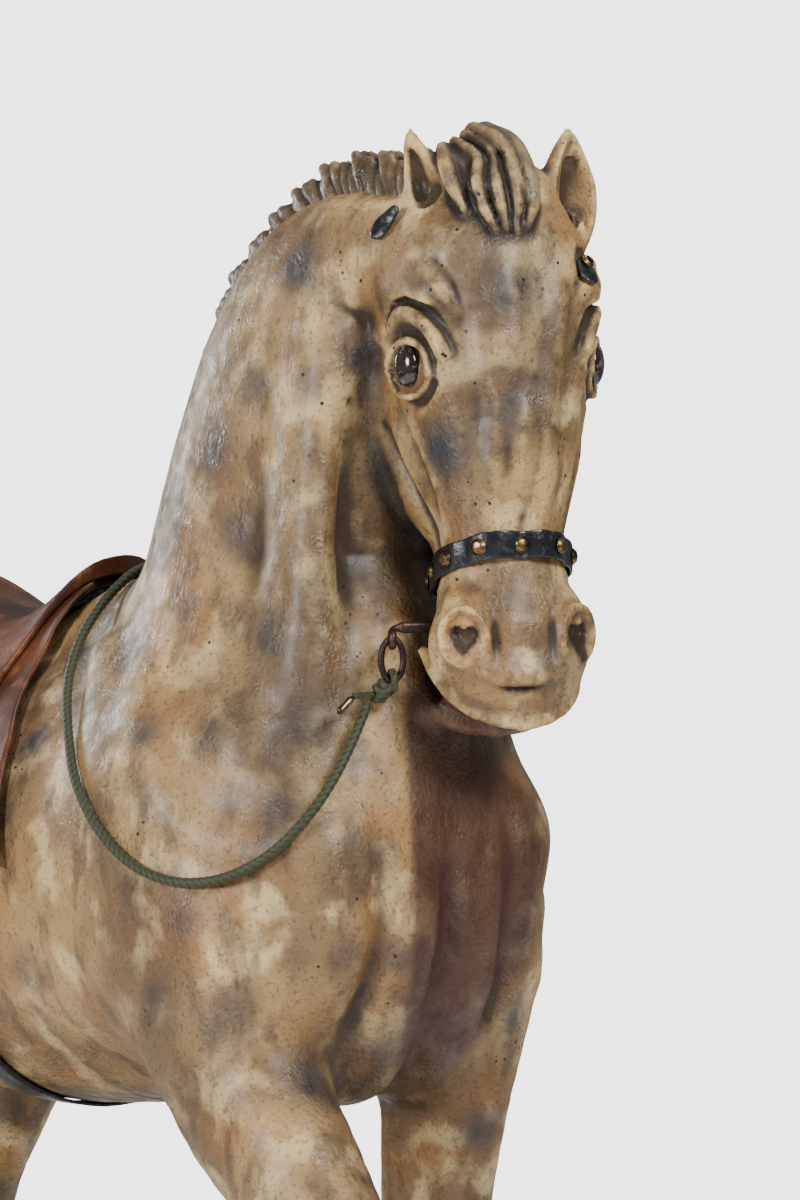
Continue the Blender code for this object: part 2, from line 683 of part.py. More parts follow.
def seat_thickness(angle, y):
    pommel = 9 * math.exp(-((y + 24) / 20) ** 2 - (angle / 15) ** 2)
    cantle = 12 * math.exp(-((y - 190) / 22) ** 2 - (angle / 30) ** 2)
    return 4.5 + pommel + cantle


seat = barrel_sheet("saddle_seat", np.arange(-45, 46, 4.5), lambda angle: saddle_front(angle) + 4 + 0.7 * abs(angle),
                    lambda angle: 196 - 0.9 * abs(angle), 9.0, seat_thickness, brown, 10)

# Noseband and its studs
BAND_HALF = 9.0


def nose_point(turn, gap):
    """A point round the nose in the tilted plane of the noseband, its outward direction and the strap's edge."""
    middle = HEAD.world([0, -12, 243])
    out = np.array([math.sin(turn), math.cos(turn), -0.38 * math.cos(turn)])
    out /= np.linalg.norm(out)
    far = out @ HEAD.axes
    start = Vector(to_metres(middle))
    best = 0
    for swing in (-0.09, -0.045, 0, 0.045, 0.09):
        aside = Vector(far) + swing * Vector(HEAD.axes.T @ np.array([math.cos(turn), -math.sin(turn), 0]))
        for lift in (-BAND_HALF, -BAND_HALF / 2, 0, BAND_HALF / 2, BAND_HALF):
            _, _, _, gone = surface.ray_cast(start - Vector(HEAD.axes[2]) * lift * UNIT, aside.normalized(), 0.1)
            best = max(best, (gone or 0) / UNIT)
    return to_metres(middle + far * (best + gap)), far


nose_turns = np.linspace(0, 2 * math.pi, 37)[:-1]
inner = np.array([nose_point(t, 1.3)[0] for t in nose_turns])
outer = np.array([nose_point(t, 3.3)[0] for t in nose_turns])
edge = np.tile(-HEAD.axes[2] * BAND_HALF * UNIT, (len(inner), 1))
noseband = hoop("noseband", inner, outer, edge, black)
STUDS = 12
for i in range(STUDS):
    at, out = nose_point(nose_turns[i * 3], 3.3)
    before, after = (nose_point(nose_turns[(i * 3 + step) % 36], 3.3)[0] for step in (-1, 1))
    facing = np.cross(after - before, HEAD.axes[2])
    facing *= np.sign(facing @ out) / np.linalg.norm(facing)
    lift = max(0.0, (before - at) @ facing, (after - at) @ facing)
    dome("noseband_stud_" + str(i + 1), at + facing * (lift + 0.5 * UNIT), facing, 5.6 * UNIT, 3.4 * UNIT, brass)

# Leather scraps of the browband


def scrap(name, x, s, h, length, width, lean):
    """A leaf of leather on the side of the head."""
    centre = HEAD.world([x, s, h])
    hit, normal, _, _ = surface.find_nearest(Vector(to_metres(centre)))
    normal = np.array(normal)
    down = HEAD.axes[2] + lean * HEAD.axes[1]
    down = down - (down @ normal) * normal
    down /= np.linalg.norm(down)
    across = np.cross(down, normal)
    grid_in, grid_out = [], []
    for t in np.linspace(-1, 1, 6):
        half = width / 2 * math.sqrt(max(1 - t * t * 0.93, 0.05))
        row_in, row_out = [], []
        for w in (-1, 0, 1):
            spot = np.array(hit) + (down * t * length / 2 + across * w * half) * UNIT
            near, _, _, _ = surface.ray_cast(Vector(spot + normal * 0.03), Vector(-normal))
            lift = 0 if near is None else max(0, (np.array(near) - spot) @ normal)
            row_in.append(spot + normal * (lift + 1.4 * UNIT))
            row_out.append(spot + normal * (lift + (3.6 - 0.8 * abs(w)) * UNIT))
        grid_in.append(row_in)
        grid_out.append(row_out)
    made = sheet(name, np.array(grid_in), np.array(grid_out), black)
    return np.array(hit), normal, down, made


hit, normal, down, _ = scrap("right_browband_scrap", -72, -24, 14, 26, 15, 0.5)
hit, normal, down, _ = scrap("left_browband_scrap", 50, 16, 42, 24, 15, 0.6)
dome("browband_stud", hit + normal * 5.2 * UNIT - down * 5 * UNIT, normal, 5.0 * UNIT, 3.0 * UNIT, brass)

# Bit, link rings, knots, rein and aglets
halves = [bar("bit", BIT_HALF, RING_SIDE, iron)]
EYE_TOP = BIT_PLACE[1] + 7
for side in (-1, 1):
    circle = [head_point(side * RING_SIDE, BIT_PLACE[0] + 5 * math.cos(t), EYE_TOP + 5 * math.sin(t))
              for t in np.linspace(0, 2 * math.pi, 17)[:-1]]
    halves.append(tube("bit eye", circle, 2.2 * UNIT, 6, iron, closed=True))
bit = joined("bit", halves)
LINK = EYE_TOP + 14


def link(name, side):
    oval = [head_point(side * RING_SIDE + 7.5 * math.cos(t), BIT_PLACE[0], LINK + 14 * math.sin(t))
            for t in np.linspace(0, 2 * math.pi, 25)[:-1]]
    return tube(name, oval, 2.0 * UNIT, 6, iron, closed=True)


link("bit_ring", -1)
CORD = 3.5
KNOT = np.array([-83.0, -20.0, 327.0])
CORD_TAIL = np.array([-99.0, -11.0, 324.0])
start = np.array([-RING_SIDE, BIT_PLACE[0], LINK + 14])
along = (KNOT - start) / np.linalg.norm(KNOT - start)
plane = np.array([0.0, along[1], along[2]])
plane /= np.linalg.norm(plane)
other = np.cross([1.0, 0, 0], plane)
loop = [head_point(*(start + 6.2 * (math.cos(t) * plane + math.sin(t) * other)))
        for t in np.linspace(0, 2 * math.pi, 17)[:-1]]
joined("rein_knot", [
    tube("core", [head_point(*(start + 4.3 * along)), head_point(*KNOT)], 6.5 * UNIT, 8, green),
    tube("wrap", loop, 2.6 * UNIT, 6, green, closed=True),
    tube("tail", [head_point(*(KNOT - 4 * along)), head_point(*CORD_TAIL)], 2.4 * UNIT, 6, green),
])
out = (CORD_TAIL - KNOT) / np.linalg.norm(CORD_TAIL - KNOT) * 0.5 + np.array([-0.35, 0, 0.8])
out /= np.linalg.norm(out)
tube("aglet", [head_point(*(CORD_TAIL + 3.2 * out)), head_point(*(CORD_TAIL + 16 * out))], 2.4 * UNIT, 8, brass)

# The rein lies over the shoulder and the withers and is nailed on at the left of the pommel
REIN = [(-56.5, -369.5, 713.5), (-77, -377, 682), (-112, -374, 636), (-134, -344, 604), (-154, -302, 591),
        (-162, -262, 596), (-160, -210, 628), (-144, -160, 676), (-114, -112, 716), (-76, -84, 750),
        (-38, -72, 782), (0, -70, 798), (36, -70, 782), (52, -70, 768)]


def resting_cord(spots, radius, spacing):
    """A smooth path through the spots, lifted where it would sink into the wood."""
    path = smoothed([(spot, 1, 1) for spot in spots], 12)[:, :3]
    for _ in range(12):
        step = np.linalg.norm(np.diff(path, axis=0), axis=1)
        run = np.concatenate([[0], np.cumsum(step)])
        marks = np.linspace(0, run[-1], int(run[-1] / spacing) + 1)
        path = np.stack([np.interp(marks, run, path[:, axis]) for axis in range(3)], 1)
        for i in range(1, len(path) - 1):
            near, normal, _, _ = surface.find_nearest(Vector(to_metres(path[i])))
            off = path[i] - from_metres(near)
            above = off @ np.array(normal)
            short = radius + 1.6 - (np.linalg.norm(off) if above > 0 else -np.linalg.norm(off))
            if short > 0:
                path[i] = path[i] + np.array(normal) * min(short, 12)
        path[1:-1] = path[1:-1] * 0.6 + (path[:-2] + path[2:]) * 0.2
    for i in range(1, len(path) - 1):
        near, normal, _, _ = surface.find_nearest(Vector(to_metres(path[i])))
        off = path[i] - from_metres(near)
        short = radius + 1.2 - (np.linalg.norm(off) if off @ np.array(normal) > 0 else -np.linalg.norm(off))
        if short > 0:
            path[i] = path[i] + np.array(normal) * short
    return path


rein_path = resting_cord(REIN, CORD, 16)
line = bpy.data.curves.new("rein", "CURVE")
line.dimensions = "3D"
line.bevel_depth = CORD * UNIT
line.bevel_resolution = 2
line.use_fill_caps = True
run = line.splines.new("POLY")
run.points.add(len(rein_path) - 1)
for point, spot in zip(run.points, to_metres(rein_path)):
    point.co = (*spot, 1)
line.materials.append(green)
rein = bpy.data.objects.new("rein", line)
bpy.context.scene.collection.objects.link(rein)
heading = (rein_path[-1] - rein_path[-2]) / np.linalg.norm(rein_path[-1] - rein_path[-2])
end = to_metres(rein_path[-1] + heading * 7.4)
near, normal, _, gone = surface.find_nearest(Vector(end))
normal = np.array(normal) - (np.array(normal) @ heading) * heading
normal /= np.linalg.norm(normal)
end = end + normal * max(0.0, 7.6 * UNIT - gone)
bpy.ops.mesh.primitive_uv_sphere_add(segments=10, ring_count=7, radius=6.4 * UNIT, location=end)
bpy.context.object.name = "rein_end_knot"
bpy.ops.object.transform_apply(location=True)
bpy.context.object.data.materials.append(green)
dome("rein_nail", end + np.array(normal) * 6.9 * UNIT, normal, 4.0 * UNIT, 2.4 * UNIT, iron)

bpy.context.view_layer.update()
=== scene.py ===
import math

import bmesh
import bpy
import numpy as np
from mathutils import Matrix, Vector, noise
from mathutils.bvhtree import BVHTree
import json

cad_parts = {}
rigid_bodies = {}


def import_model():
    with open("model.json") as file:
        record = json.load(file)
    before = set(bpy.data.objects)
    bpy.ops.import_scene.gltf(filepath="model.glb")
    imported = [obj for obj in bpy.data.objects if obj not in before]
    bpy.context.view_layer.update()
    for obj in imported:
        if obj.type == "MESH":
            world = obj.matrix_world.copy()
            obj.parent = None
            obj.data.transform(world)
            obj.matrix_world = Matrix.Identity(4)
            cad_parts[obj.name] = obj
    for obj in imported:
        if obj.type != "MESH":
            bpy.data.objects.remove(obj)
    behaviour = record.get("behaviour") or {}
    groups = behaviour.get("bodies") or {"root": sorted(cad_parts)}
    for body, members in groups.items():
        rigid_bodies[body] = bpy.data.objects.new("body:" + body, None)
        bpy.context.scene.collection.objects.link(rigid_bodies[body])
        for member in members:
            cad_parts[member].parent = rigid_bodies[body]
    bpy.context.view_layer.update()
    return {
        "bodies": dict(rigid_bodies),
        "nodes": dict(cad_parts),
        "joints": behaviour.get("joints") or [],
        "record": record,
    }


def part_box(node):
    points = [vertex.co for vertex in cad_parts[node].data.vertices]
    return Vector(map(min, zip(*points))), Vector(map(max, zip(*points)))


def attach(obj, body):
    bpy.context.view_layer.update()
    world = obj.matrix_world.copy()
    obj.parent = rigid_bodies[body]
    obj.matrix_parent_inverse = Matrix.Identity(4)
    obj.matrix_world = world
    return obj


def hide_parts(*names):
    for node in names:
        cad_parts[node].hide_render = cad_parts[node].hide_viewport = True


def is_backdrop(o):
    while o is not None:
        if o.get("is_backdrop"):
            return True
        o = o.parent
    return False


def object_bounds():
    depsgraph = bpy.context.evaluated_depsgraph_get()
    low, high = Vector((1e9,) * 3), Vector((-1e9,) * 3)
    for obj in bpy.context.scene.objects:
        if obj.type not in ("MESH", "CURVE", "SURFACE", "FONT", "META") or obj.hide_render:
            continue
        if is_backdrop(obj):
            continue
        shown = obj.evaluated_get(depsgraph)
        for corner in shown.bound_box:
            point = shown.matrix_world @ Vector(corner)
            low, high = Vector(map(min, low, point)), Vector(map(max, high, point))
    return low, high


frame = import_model()

# The view of the studio photograph: a long lens from the horse's right front, a little above its eyes.
# Azimuth turns from straight ahead of the horse towards its left, and the camera looks at the aim point.
CAMERA_AIM = Vector((0, -0.336, 0.824))
CAMERA_AZIMUTH = math.radians(-40)
CAMERA_RISE = math.radians(4)
CAMERA_DISTANCE = 3.6
CAMERA_LENS = 161.55  # mm
camera_back = Vector((
    math.sin(CAMERA_AZIMUTH) * math.cos(CAMERA_RISE),
    -math.cos(CAMERA_AZIMUTH) * math.cos(CAMERA_RISE),
    math.sin(CAMERA_RISE),
))
bpy.ops.object.camera_add(location=CAMERA_AIM + camera_back * CAMERA_DISTANCE)
camera = bpy.context.object
camera.rotation_euler = (-camera_back).to_track_quat("-Z", "Y").to_euler()
camera.data.lens = CAMERA_LENS
camera.data.sensor_width = 36  # mm
bpy.context.scene.camera = camera

# The studio: a pale seamless paper floor and soft lamps, the strongest high on the right of the camera.
# The varnish shines along the neck and the head shades the throat. Weaker lamps stand left and overhead.


def colour(code):
    """An sRGB hex colour as the linear values that Blender's sockets take."""
    parts = [int(code[i:i + 2], 16) / 255 for i in (0, 2, 4)]
    return (*[c / 12.92 if c <= 0.04045 else ((c + 0.055) / 1.055) ** 2.4 for c in parts], 1)


def add(tree, kind, sockets=None, **settings):
    """A node with its settings, its socket values and the links into it."""
    made = tree.nodes.new("ShaderNode" + kind)
    for name, value in settings.items():
        setattr(made, name, value)
    for name, value in (sockets or {}).items():
        if isinstance(value, bpy.types.NodeSocket):
            tree.links.new(value, made.inputs[name])
        else:
            made.inputs[name].default_value = value
    return made


def new_finish(name):
    """An empty node material and its tree."""
    made = bpy.data.materials.new(name)
    made.use_nodes = True
    made.node_tree.nodes.clear()
    return made, made.node_tree


def surfaced(tree, shader):
    """Joins a material's shader to its surface."""
    add(tree, "OutputMaterial", {"Surface": shader.outputs["BSDF"]})


def lamp(name, right, ahead, up, width, power):
    """A square soft lamp, placed from the aim point in the camera's own right, forward and up, in metres."""
    across = Vector((-camera_back.y, camera_back.x, 0)).normalized()
    inward = Vector((-camera_back.x, -camera_back.y, 0)).normalized()
    spot = CAMERA_AIM + across * right + inward * ahead + Vector((0, 0, up))
    bpy.ops.object.light_add(type="AREA", location=spot)
    made = bpy.context.object
    made.name = name
    made.rotation_euler = (CAMERA_AIM - spot).to_track_quat("-Z", "Y").to_euler()
    made.data.size = width
    made.data.energy = power


lamp("key_softbox", 1.25, -2.1, 1.5, 0.8, 92)
lamp("left_softbox", -1.9, -1.5, 0.5, 0.6, 52)
lamp("left_rear_softbox", -1.5, 1.4, 0.3, 0.5, 16)
lamp("overhead_softbox", 0.3, 0.3, 1.9, 0.8, 16)

FILL_LIGHT = 0.20  # light that the room throws back on the horse
WHITE_PAPER = 3.5  # how bright the paper behind it looks to the camera
world = bpy.data.worlds.new("studio")
bpy.context.scene.world = world
world.use_nodes = True
tree = world.node_tree
lit = add(tree, "LightPath").outputs["Is Camera Ray"]
glow = add(tree, "MapRange", {"Value": lit, "To Min": FILL_LIGHT, "To Max": WHITE_PAPER}).outputs["Result"]
tree.nodes["Background"].inputs["Color"].default_value = colour("FFFFFF")
tree.links.new(glow, tree.nodes["Background"].inputs["Strength"])

bpy.ops.object.select_all(action="DESELECT")
FLOOR_RADIUS = 2.0
FLOOR_DROP = 0.0005  # keeps the paper clear of the plank's underside
bpy.ops.mesh.primitive_circle_add(vertices=128, radius=FLOOR_RADIUS, fill_type="NGON",
                                  location=(0, 0, -FLOOR_DROP))
floor = bpy.context.object
floor.name = "studio_floor"
paper, tree = new_finish("seamless paper")
shader = add(tree, "BsdfPrincipled", {"Base Color": colour("F4F3F1"), "Roughness": 0.9})
surfaced(tree, shader)
floor.data.materials.append(paper)
floor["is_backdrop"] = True

# The rein is a twisted cord of green rayon, three strands laid round each other, 7 mm thick.
# It hangs from the bit's ring, lies over the shoulder and the withers and ends in a knot by the pommel.
CORD_RADIUS = 0.0035
STRANDS = 3
STRAND_TURN = 0.0165  # length of one full turn of the strands
GROOVE_DEPTH = 0.20  # of the cord's radius, between two strands
AWRY = (0.31, 0.22, 0.93)  # a direction that no part of the cord starts along
REIN_SPOTS = [
    (-0.0565, -0.3695, 0.7588), (-0.0654, -0.3718, 0.7456), (-0.0745, -0.3735, 0.7325),
    (-0.0837, -0.3742, 0.7194), (-0.0931, -0.3734, 0.7063), (-0.1024, -0.3707, 0.6936),
    (-0.1115, -0.3656, 0.6814), (-0.12, -0.3582, 0.6702), (-0.1281, -0.3484, 0.6604),
    (-0.1354, -0.3366, 0.6525), (-0.1422, -0.3233, 0.6467), (-0.1482, -0.3089, 0.6433),
    (-0.1535, -0.2939, 0.6423), (-0.1579, -0.2786, 0.6437), (-0.1611, -0.2633, 0.6474),
    (-0.163, -0.2484, 0.653), (-0.1637, -0.2341, 0.6603), (-0.1634, -0.2205, 0.6689),
    (-0.1622, -0.2076, 0.6783), (-0.1596, -0.1952, 0.6883), (-0.156, -0.1834, 0.6985),
    (-0.1511, -0.172, 0.7087), (-0.145, -0.161, 0.7188), (-0.1383, -0.1502, 0.7286),
    (-0.1313, -0.1394, 0.7383), (-0.1238, -0.1289, 0.7478), (-0.1155, -0.1188, 0.7572),
    (-0.1065, -0.1095, 0.7667), (-0.0968, -0.101, 0.7762), (-0.0863, -0.0936, 0.7859),
    (-0.0751, -0.0873, 0.7955), (-0.0632, -0.0821, 0.805), (-0.0506, -0.0779, 0.8141),
    (-0.0373, -0.0746, 0.8225), (-0.0233, -0.0717, 0.8299), (-0.0077, -0.0698, 0.8342),
    (0.0083, -0.0691, 0.8338), (0.0235, -0.0696, 0.8283), (0.0379, -0.0699, 0.8211),
    (0.052, -0.07, 0.8133),
]


def along_line(spots, spacing):
    """Points at an even spacing on the smooth curve through the spots."""
    spots = np.array(spots, float)
    ends = np.vstack([2 * spots[0] - spots[1], spots, 2 * spots[-1] - spots[-2]])
    made = []
    for a, b, c, d in zip(ends, ends[1:], ends[2:], ends[3:]):
        for t in np.arange(8) / 8:
            made.append(0.5 * (2 * b + (c - a) * t + (2 * a - 5 * b + 4 * c - d) * t**2
                               + (3 * b - a - 3 * c + d) * t**3))
    made = np.array([*made, spots[-1]])
    run = np.concatenate([[0], np.cumsum(np.linalg.norm(np.diff(made, axis=0), axis=1))])
    marks = np.linspace(0, run[-1], max(int(run[-1] / spacing), 2) + 1)
    return np.stack([np.interp(marks, run, made[:, axis]) for axis in range(3)], 1)


def turned_outward(mesh):
    """Turns every face of a closed mesh outward."""
    work = bmesh.new()
    work.from_mesh(mesh)
    bmesh.ops.recalc_face_normals(work, faces=work.faces)
    work.to_mesh(mesh)
    work.free()


def finished(name, mesh, look):
    """A smooth piece from its mesh and its material."""
    turned_outward(mesh)
    mesh.shade_smooth()
    made = bpy.data.objects.new(name, mesh)
    bpy.context.scene.collection.objects.link(made)
    mesh.materials.append(look)
    return made


def tube_faces(count, sides, closed):
    """The side faces of a tube of rings, closed on itself or open."""
    faces = []
    for i in range(count if closed else count - 1):
        near, far = i * sides, (i + 1) % count * sides
        faces += [(near + k, near + (k + 1) % sides, far + (k + 1) % sides, far + k) for k in range(sides)]
    return faces


def headings(line, closed):
    """The direction of a line at each of its points."""
    ahead = np.roll(line, -1, 0) - np.roll(line, 1, 0)
    if not closed:
        ahead[0], ahead[-1] = line[1] - line[0], line[-1] - line[-2]
    return ahead / np.linalg.norm(ahead, axis=1, keepdims=True)


def laid_cord(name, spots, radius, look, sides=24, spacing=0.0011, closed=False):
    """A cord of twisted strands along the spots, with the depth in its grooves as an attribute."""
    line = along_line(spots, spacing)
    if closed:
        line = line[:-1]
    count = len(line)
    ahead = headings(line, closed)
    across = np.cross(ahead[0], AWRY)
    run, points, depths = 0.0, [], []
    for i, (spot, direction) in enumerate(zip(line, ahead)):
        across = across - (across @ direction) * direction
        across /= np.linalg.norm(across)
        up = np.cross(direction, across)
        if i:
            run += np.linalg.norm(spot - line[i - 1])
        for turn in np.arange(sides) * 2 * math.pi / sides:
            groove = abs(math.sin(STRANDS / 2 * (turn - 2 * math.pi * run / STRAND_TURN)))
            reach = radius * (1 - GROOVE_DEPTH * (1 - groove ** 0.7))
            points.append(spot + reach * (math.cos(turn) * across + math.sin(turn) * up))
            depths.append(groove)
    faces = tube_faces(count, sides, closed)
    if not closed:
        for row, spot, direction in ((0, line[0], -ahead[0]), (count - 1, line[-1], ahead[-1])):
            points.append(spot + direction * radius * 0.12)
            depths.append(0.5)
            faces += [(row * sides + k, row * sides + (k + 1) % sides, len(points) - 1) for k in range(sides)]
    mesh = bpy.data.meshes.new(name)
    mesh.from_pydata([tuple(map(float, point)) for point in points], [], faces)
    mesh.attributes.new("strand", "FLOAT", "POINT").data.foreach_set("value", np.array(depths, np.float32))
    return finished(name, mesh, look)


# Rayon cord: soft sheen on the rounded strands, painted shade in the grooves, worn paler and greyer in
# places.
THREAD = 0.0006  # one thread of a strand
rayon, tree = new_finish("twisted green rayon cord")
where = add(tree, "TexCoord").outputs["Object"]
groove = add(tree, "Attribute", attribute_name="strand").outputs["Fac"]
threads = add(tree, "TexNoise", {"Vector": where, "Scale": 1 / (2 * THREAD), "Detail": 2.0})
faded = add(tree, "TexNoise", {"Vector": where, "Scale": 1 / 0.03, "Detail": 3.0})
light = add(tree, "Mix", {0: faded.outputs["Fac"], 6: colour("2F3413"), 7: colour("494D20")},
            data_type="RGBA")
thread = add(tree, "Mix", {0: threads.outputs["Fac"], 6: light.outputs[2], 7: colour("1B1F0B")},
             data_type="RGBA")
# Painted shade: the grooves between the strands are mixed towards near-black green.
deep = add(tree, "MapRange", {"Value": groove, "From Min": 0.05, "From Max": 0.75})
groove_shaded_tone = add(tree, "Mix", {0: deep.outputs["Result"], 6: colour("15180B"), 7: thread.outputs[2]},
           data_type="RGBA")
relief = add(tree, "Bump", {"Strength": 0.5, "Distance": 0.0003, "Height": threads.outputs["Fac"]})
shader = add(tree, "BsdfPrincipled", {
    "Base Color": groove_shaded_tone.outputs[2],
    "Roughness": 0.62,
    "Sheen Weight": 0.1,
    "Normal": relief.outputs["Normal"],
})
surfaced(tree, shader)

rein = laid_cord("twisted_rein", REIN_SPOTS, CORD_RADIUS, rayon)
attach(rein, "root")
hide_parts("rein")

# The horse is carved from glued blocks of wood, primed, painted in dappled grey and varnished.
# The carving is worked out from strokes, oval tubes joined with fillets or cut away, in millimetres.
UNIT = 0.001
GROUND = 0.0453  # hoof soles, on the plank
X_AXIS = np.array([1.0, 0.0, 0.0])


class Axes:
    """Axes that a group of strokes is carved in, in design millimetres."""

    def __init__(self, origin=(0, 0, 0), axes=np.eye(3)):
        self.origin = np.array(origin, float)
        self.axes = np.array(axes, float)

    def local(self, points):
        return (points - self.origin) @ self.axes.T

    def world(self, points):
        return np.asarray(points, float) @ self.axes + self.origin


def head_frame(origin, turn_deg, nod_deg):
    """x to the horse's left, y forward out of the face, z down the face from the poll."""
    turn, nod = math.radians(turn_deg), math.radians(nod_deg)
    ahead = np.array([-math.sin(turn), -math.cos(turn), 0.0])
    left = np.array([math.cos(turn), -math.sin(turn), 0.0])
    down = np.array([0.0, 0.0, -1.0])
    face = ahead * math.cos(nod) - down * math.sin(nod)
    along = ahead * math.sin(nod) + down * math.cos(nod)
    return Axes(origin, [left, face, along])


BODY = Axes()
HEAD_TURN = 24.0
HEAD_NOD = 0.0
HEAD = head_frame((14, -425, 1045), HEAD_TURN, HEAD_NOD)


def smoothed(stations, steps):
    """Stations on the smooth curve through these ones."""
    rows = np.array([[*place, depth, width] for place, depth, width in stations], float)
    if len(rows) < 2:
        return rows
    ends = np.vstack([2 * rows[0] - rows[1], rows, 2 * rows[-1] - rows[-2]])
    made = []
    for a, b, c, d in zip(ends, ends[1:], ends[2:], ends[3:]):
        for t in np.arange(steps) / steps:
            made.append(
                0.5 * (2 * b + (c - a) * t + (2 * a - 5 * b + 4 * c - d) * t**2
                       + (3 * b - a - 3 * c + d) * t**3)
            )
    made.append(rows[-1])
    return np.array(made)


class Stroke:
    """An oval tube through stations of (place, half depth, half width), joined to the wood or cut from it."""

    def __init__(self, stations, fillet, side=X_AXIS, paired=False, cut=False, frame=BODY, steps=4):
        self.rows = smoothed(stations, steps)
        self.fillet = fillet
        self.side = np.array(side, float) / np.linalg.norm(side)
        self.signs = (1, -1) if paired else (1,)
        self.cut = cut
        self.frame = frame

    def distance(self, points):
        if len(self.rows) == 1:
            rows = np.vstack([self.rows, self.rows])
        else:
            rows = self.rows
        best = np.full(len(points), 1e3)
        for start, end in zip(rows, rows[1:]):
            reach = max(start[3:].max(), end[3:].max()) + self.fillet + 14
            near = ((points > np.minimum(start, end)[:3] - reach)
                    & (points < np.maximum(start, end)[:3] + reach)).all(1)
            if not near.any():
                continue
            along = end[:3] - start[:3]
            off = points[near] - start[:3]
            share = np.clip(off @ along / max(along @ along, 1e-9), 0, 1)
            depth = start[3] + (end[3] - start[3]) * share
            width = start[4] + (end[4] - start[4]) * share
            off = off - share[:, None] * along
            across = (off @ self.side) ** 2
            within = np.maximum((off * off).sum(1) - across, 0)
            scaled = np.sqrt(within / depth**2 + across / width**2)
            slope = np.sqrt(within / depth**4 + across / width**4) + 1e-9
            best[near] = np.minimum(best[near], scaled * (scaled - 1) / slope)
        return best

    def apply(self, points, wood):
        local = self.frame.local(points)
        reach = self.rows[:, 3:].max() + self.fillet + 14
        for sign in self.signs:
            mine = local * np.array([sign, 1, 1])
            low = self.rows[:, :3].min(0) - reach
            high = self.rows[:, :3].max(0) + reach
            near = ((mine > low) & (mine < high)).all(1)
            if not near.any():
                continue
            mass = self.distance(mine[near])
            if self.cut:
                wood[near] = -blend(-wood[near], mass, self.fillet)
            else:
                wood[near] = blend(wood[near], mass, self.fillet)
        return wood

    def balls(self):
        """(centre, radii matrix) of rough balls that fill the stroke, in design millimetres."""
        for sign in self.signs:
            flip = np.array([sign, 1, 1])
            for row in self.rows:
                yield self.frame.world(row[:3] * flip), self.frame.axes.T @ np.diag(flip) @ self.oval(row)

    def oval(self, row):
        across = np.outer(self.side, self.side)
        return row[3] * (np.eye(3) - across) + row[4] * across


def blend(a, b, fillet):
    """The nearer of two distances, with a fillet of this size where they meet."""
    share = np.clip(0.5 + 0.5 * (a - b) / fillet, 0, 1)
    return a + (b - a) * share - fillet * share * (1 - share)


def trunk():
    barrel = Stroke([((0, -245, 585), 143, 138), ((0, -120, 578), 162, 150), ((0, 20, 562), 162, 158),
                     ((0, 150, 570), 161, 162), ((0, 290, 600), 150, 148), ((0, 325, 620), 132, 132)], 30,
                     steps=12)
    withers = Stroke([((0, -150, 728), 58, 60), ((0, -60, 736), 44, 46), ((0, 30, 690), 40, 52)], 45)
    croup = Stroke([((0, 200, 668), 70, 84), ((0, 275, 660), 84, 88)], 60)
    haunch = Stroke([((85, 290, 600), 118, 72), ((80, 325, 580), 105, 66)], 50, paired=True)
    shoulder = Stroke([((88, -235, 645), 92, 66), ((86, -208, 560), 88, 60)], 45, paired=True)
    breast = Stroke([((66, -332, 612), 50, 54), ((60, -322, 548), 50, 48)], 36, paired=True)
    brisket = Stroke([((30, -322, 560), 56, 40), ((28, -304, 496), 58, 38)], 26, paired=True)
    return [barrel, withers, croup, haunch, shoulder, breast, brisket]


def muscles():
    """Raised bands and sunk furrows of the neck, shoulder and breast."""
    band = Stroke([((46, -312, 950), 18, 14), ((57, -308, 870), 24, 16), ((66, -312, 780), 26, 18),
                   ((74, -318, 700), 26, 20)], 22, paired=True)
    windpipe = Stroke([((0, -314, 900), 20, 24), ((0, -310, 800), 22, 28), ((0, -338, 706), 26, 30)], 26)
    blade = Stroke([((84, -128, 730), 12, 12), ((110, -170, 680), 20, 20), ((124, -220, 620), 24, 22),
                    ((124, -280, 570), 26, 22)], 26, paired=True)
    hollow = Stroke([((128, -258, 736), 18, 10), ((143, -280, 700), 22, 12), ((148, -306, 664), 20, 12),
                     ((138, -338, 652), 12, 8)], 30, paired=True, cut=True)
    arm = Stroke([((122, -300, 560), 30, 20), ((118, -262, 490), 36, 22)], 24, paired=True)
    sternum = Stroke([((0, -392, 600), 8, 7), ((0, -386, 540), 9, 7), ((0, -370, 480), 10, 8),
                      ((0, -340, 446), 9, 8)],
                     10, cut=True)
    fold = Stroke([((58, -392, 640), 8, 7), ((56, -386, 560), 8, 7), ((62, -362, 500), 8, 7)],
                  12, paired=True, cut=True)
    return [band, windpipe, blade, hollow, arm, sternum, fold]


NECK = [((0, -227, 690), 149, 110), ((0, -217, 784), 114, 86), ((0, -238, 886), 99, 72),
        ((0, -263, 950), 86, 62), ((0, -297, 994), 58, 54), ((0, -350, 1006), 44, 46),
        ((4, -398, 1006), 40, 44)]


def neck():
    return [Stroke(NECK, 40, steps=10)]


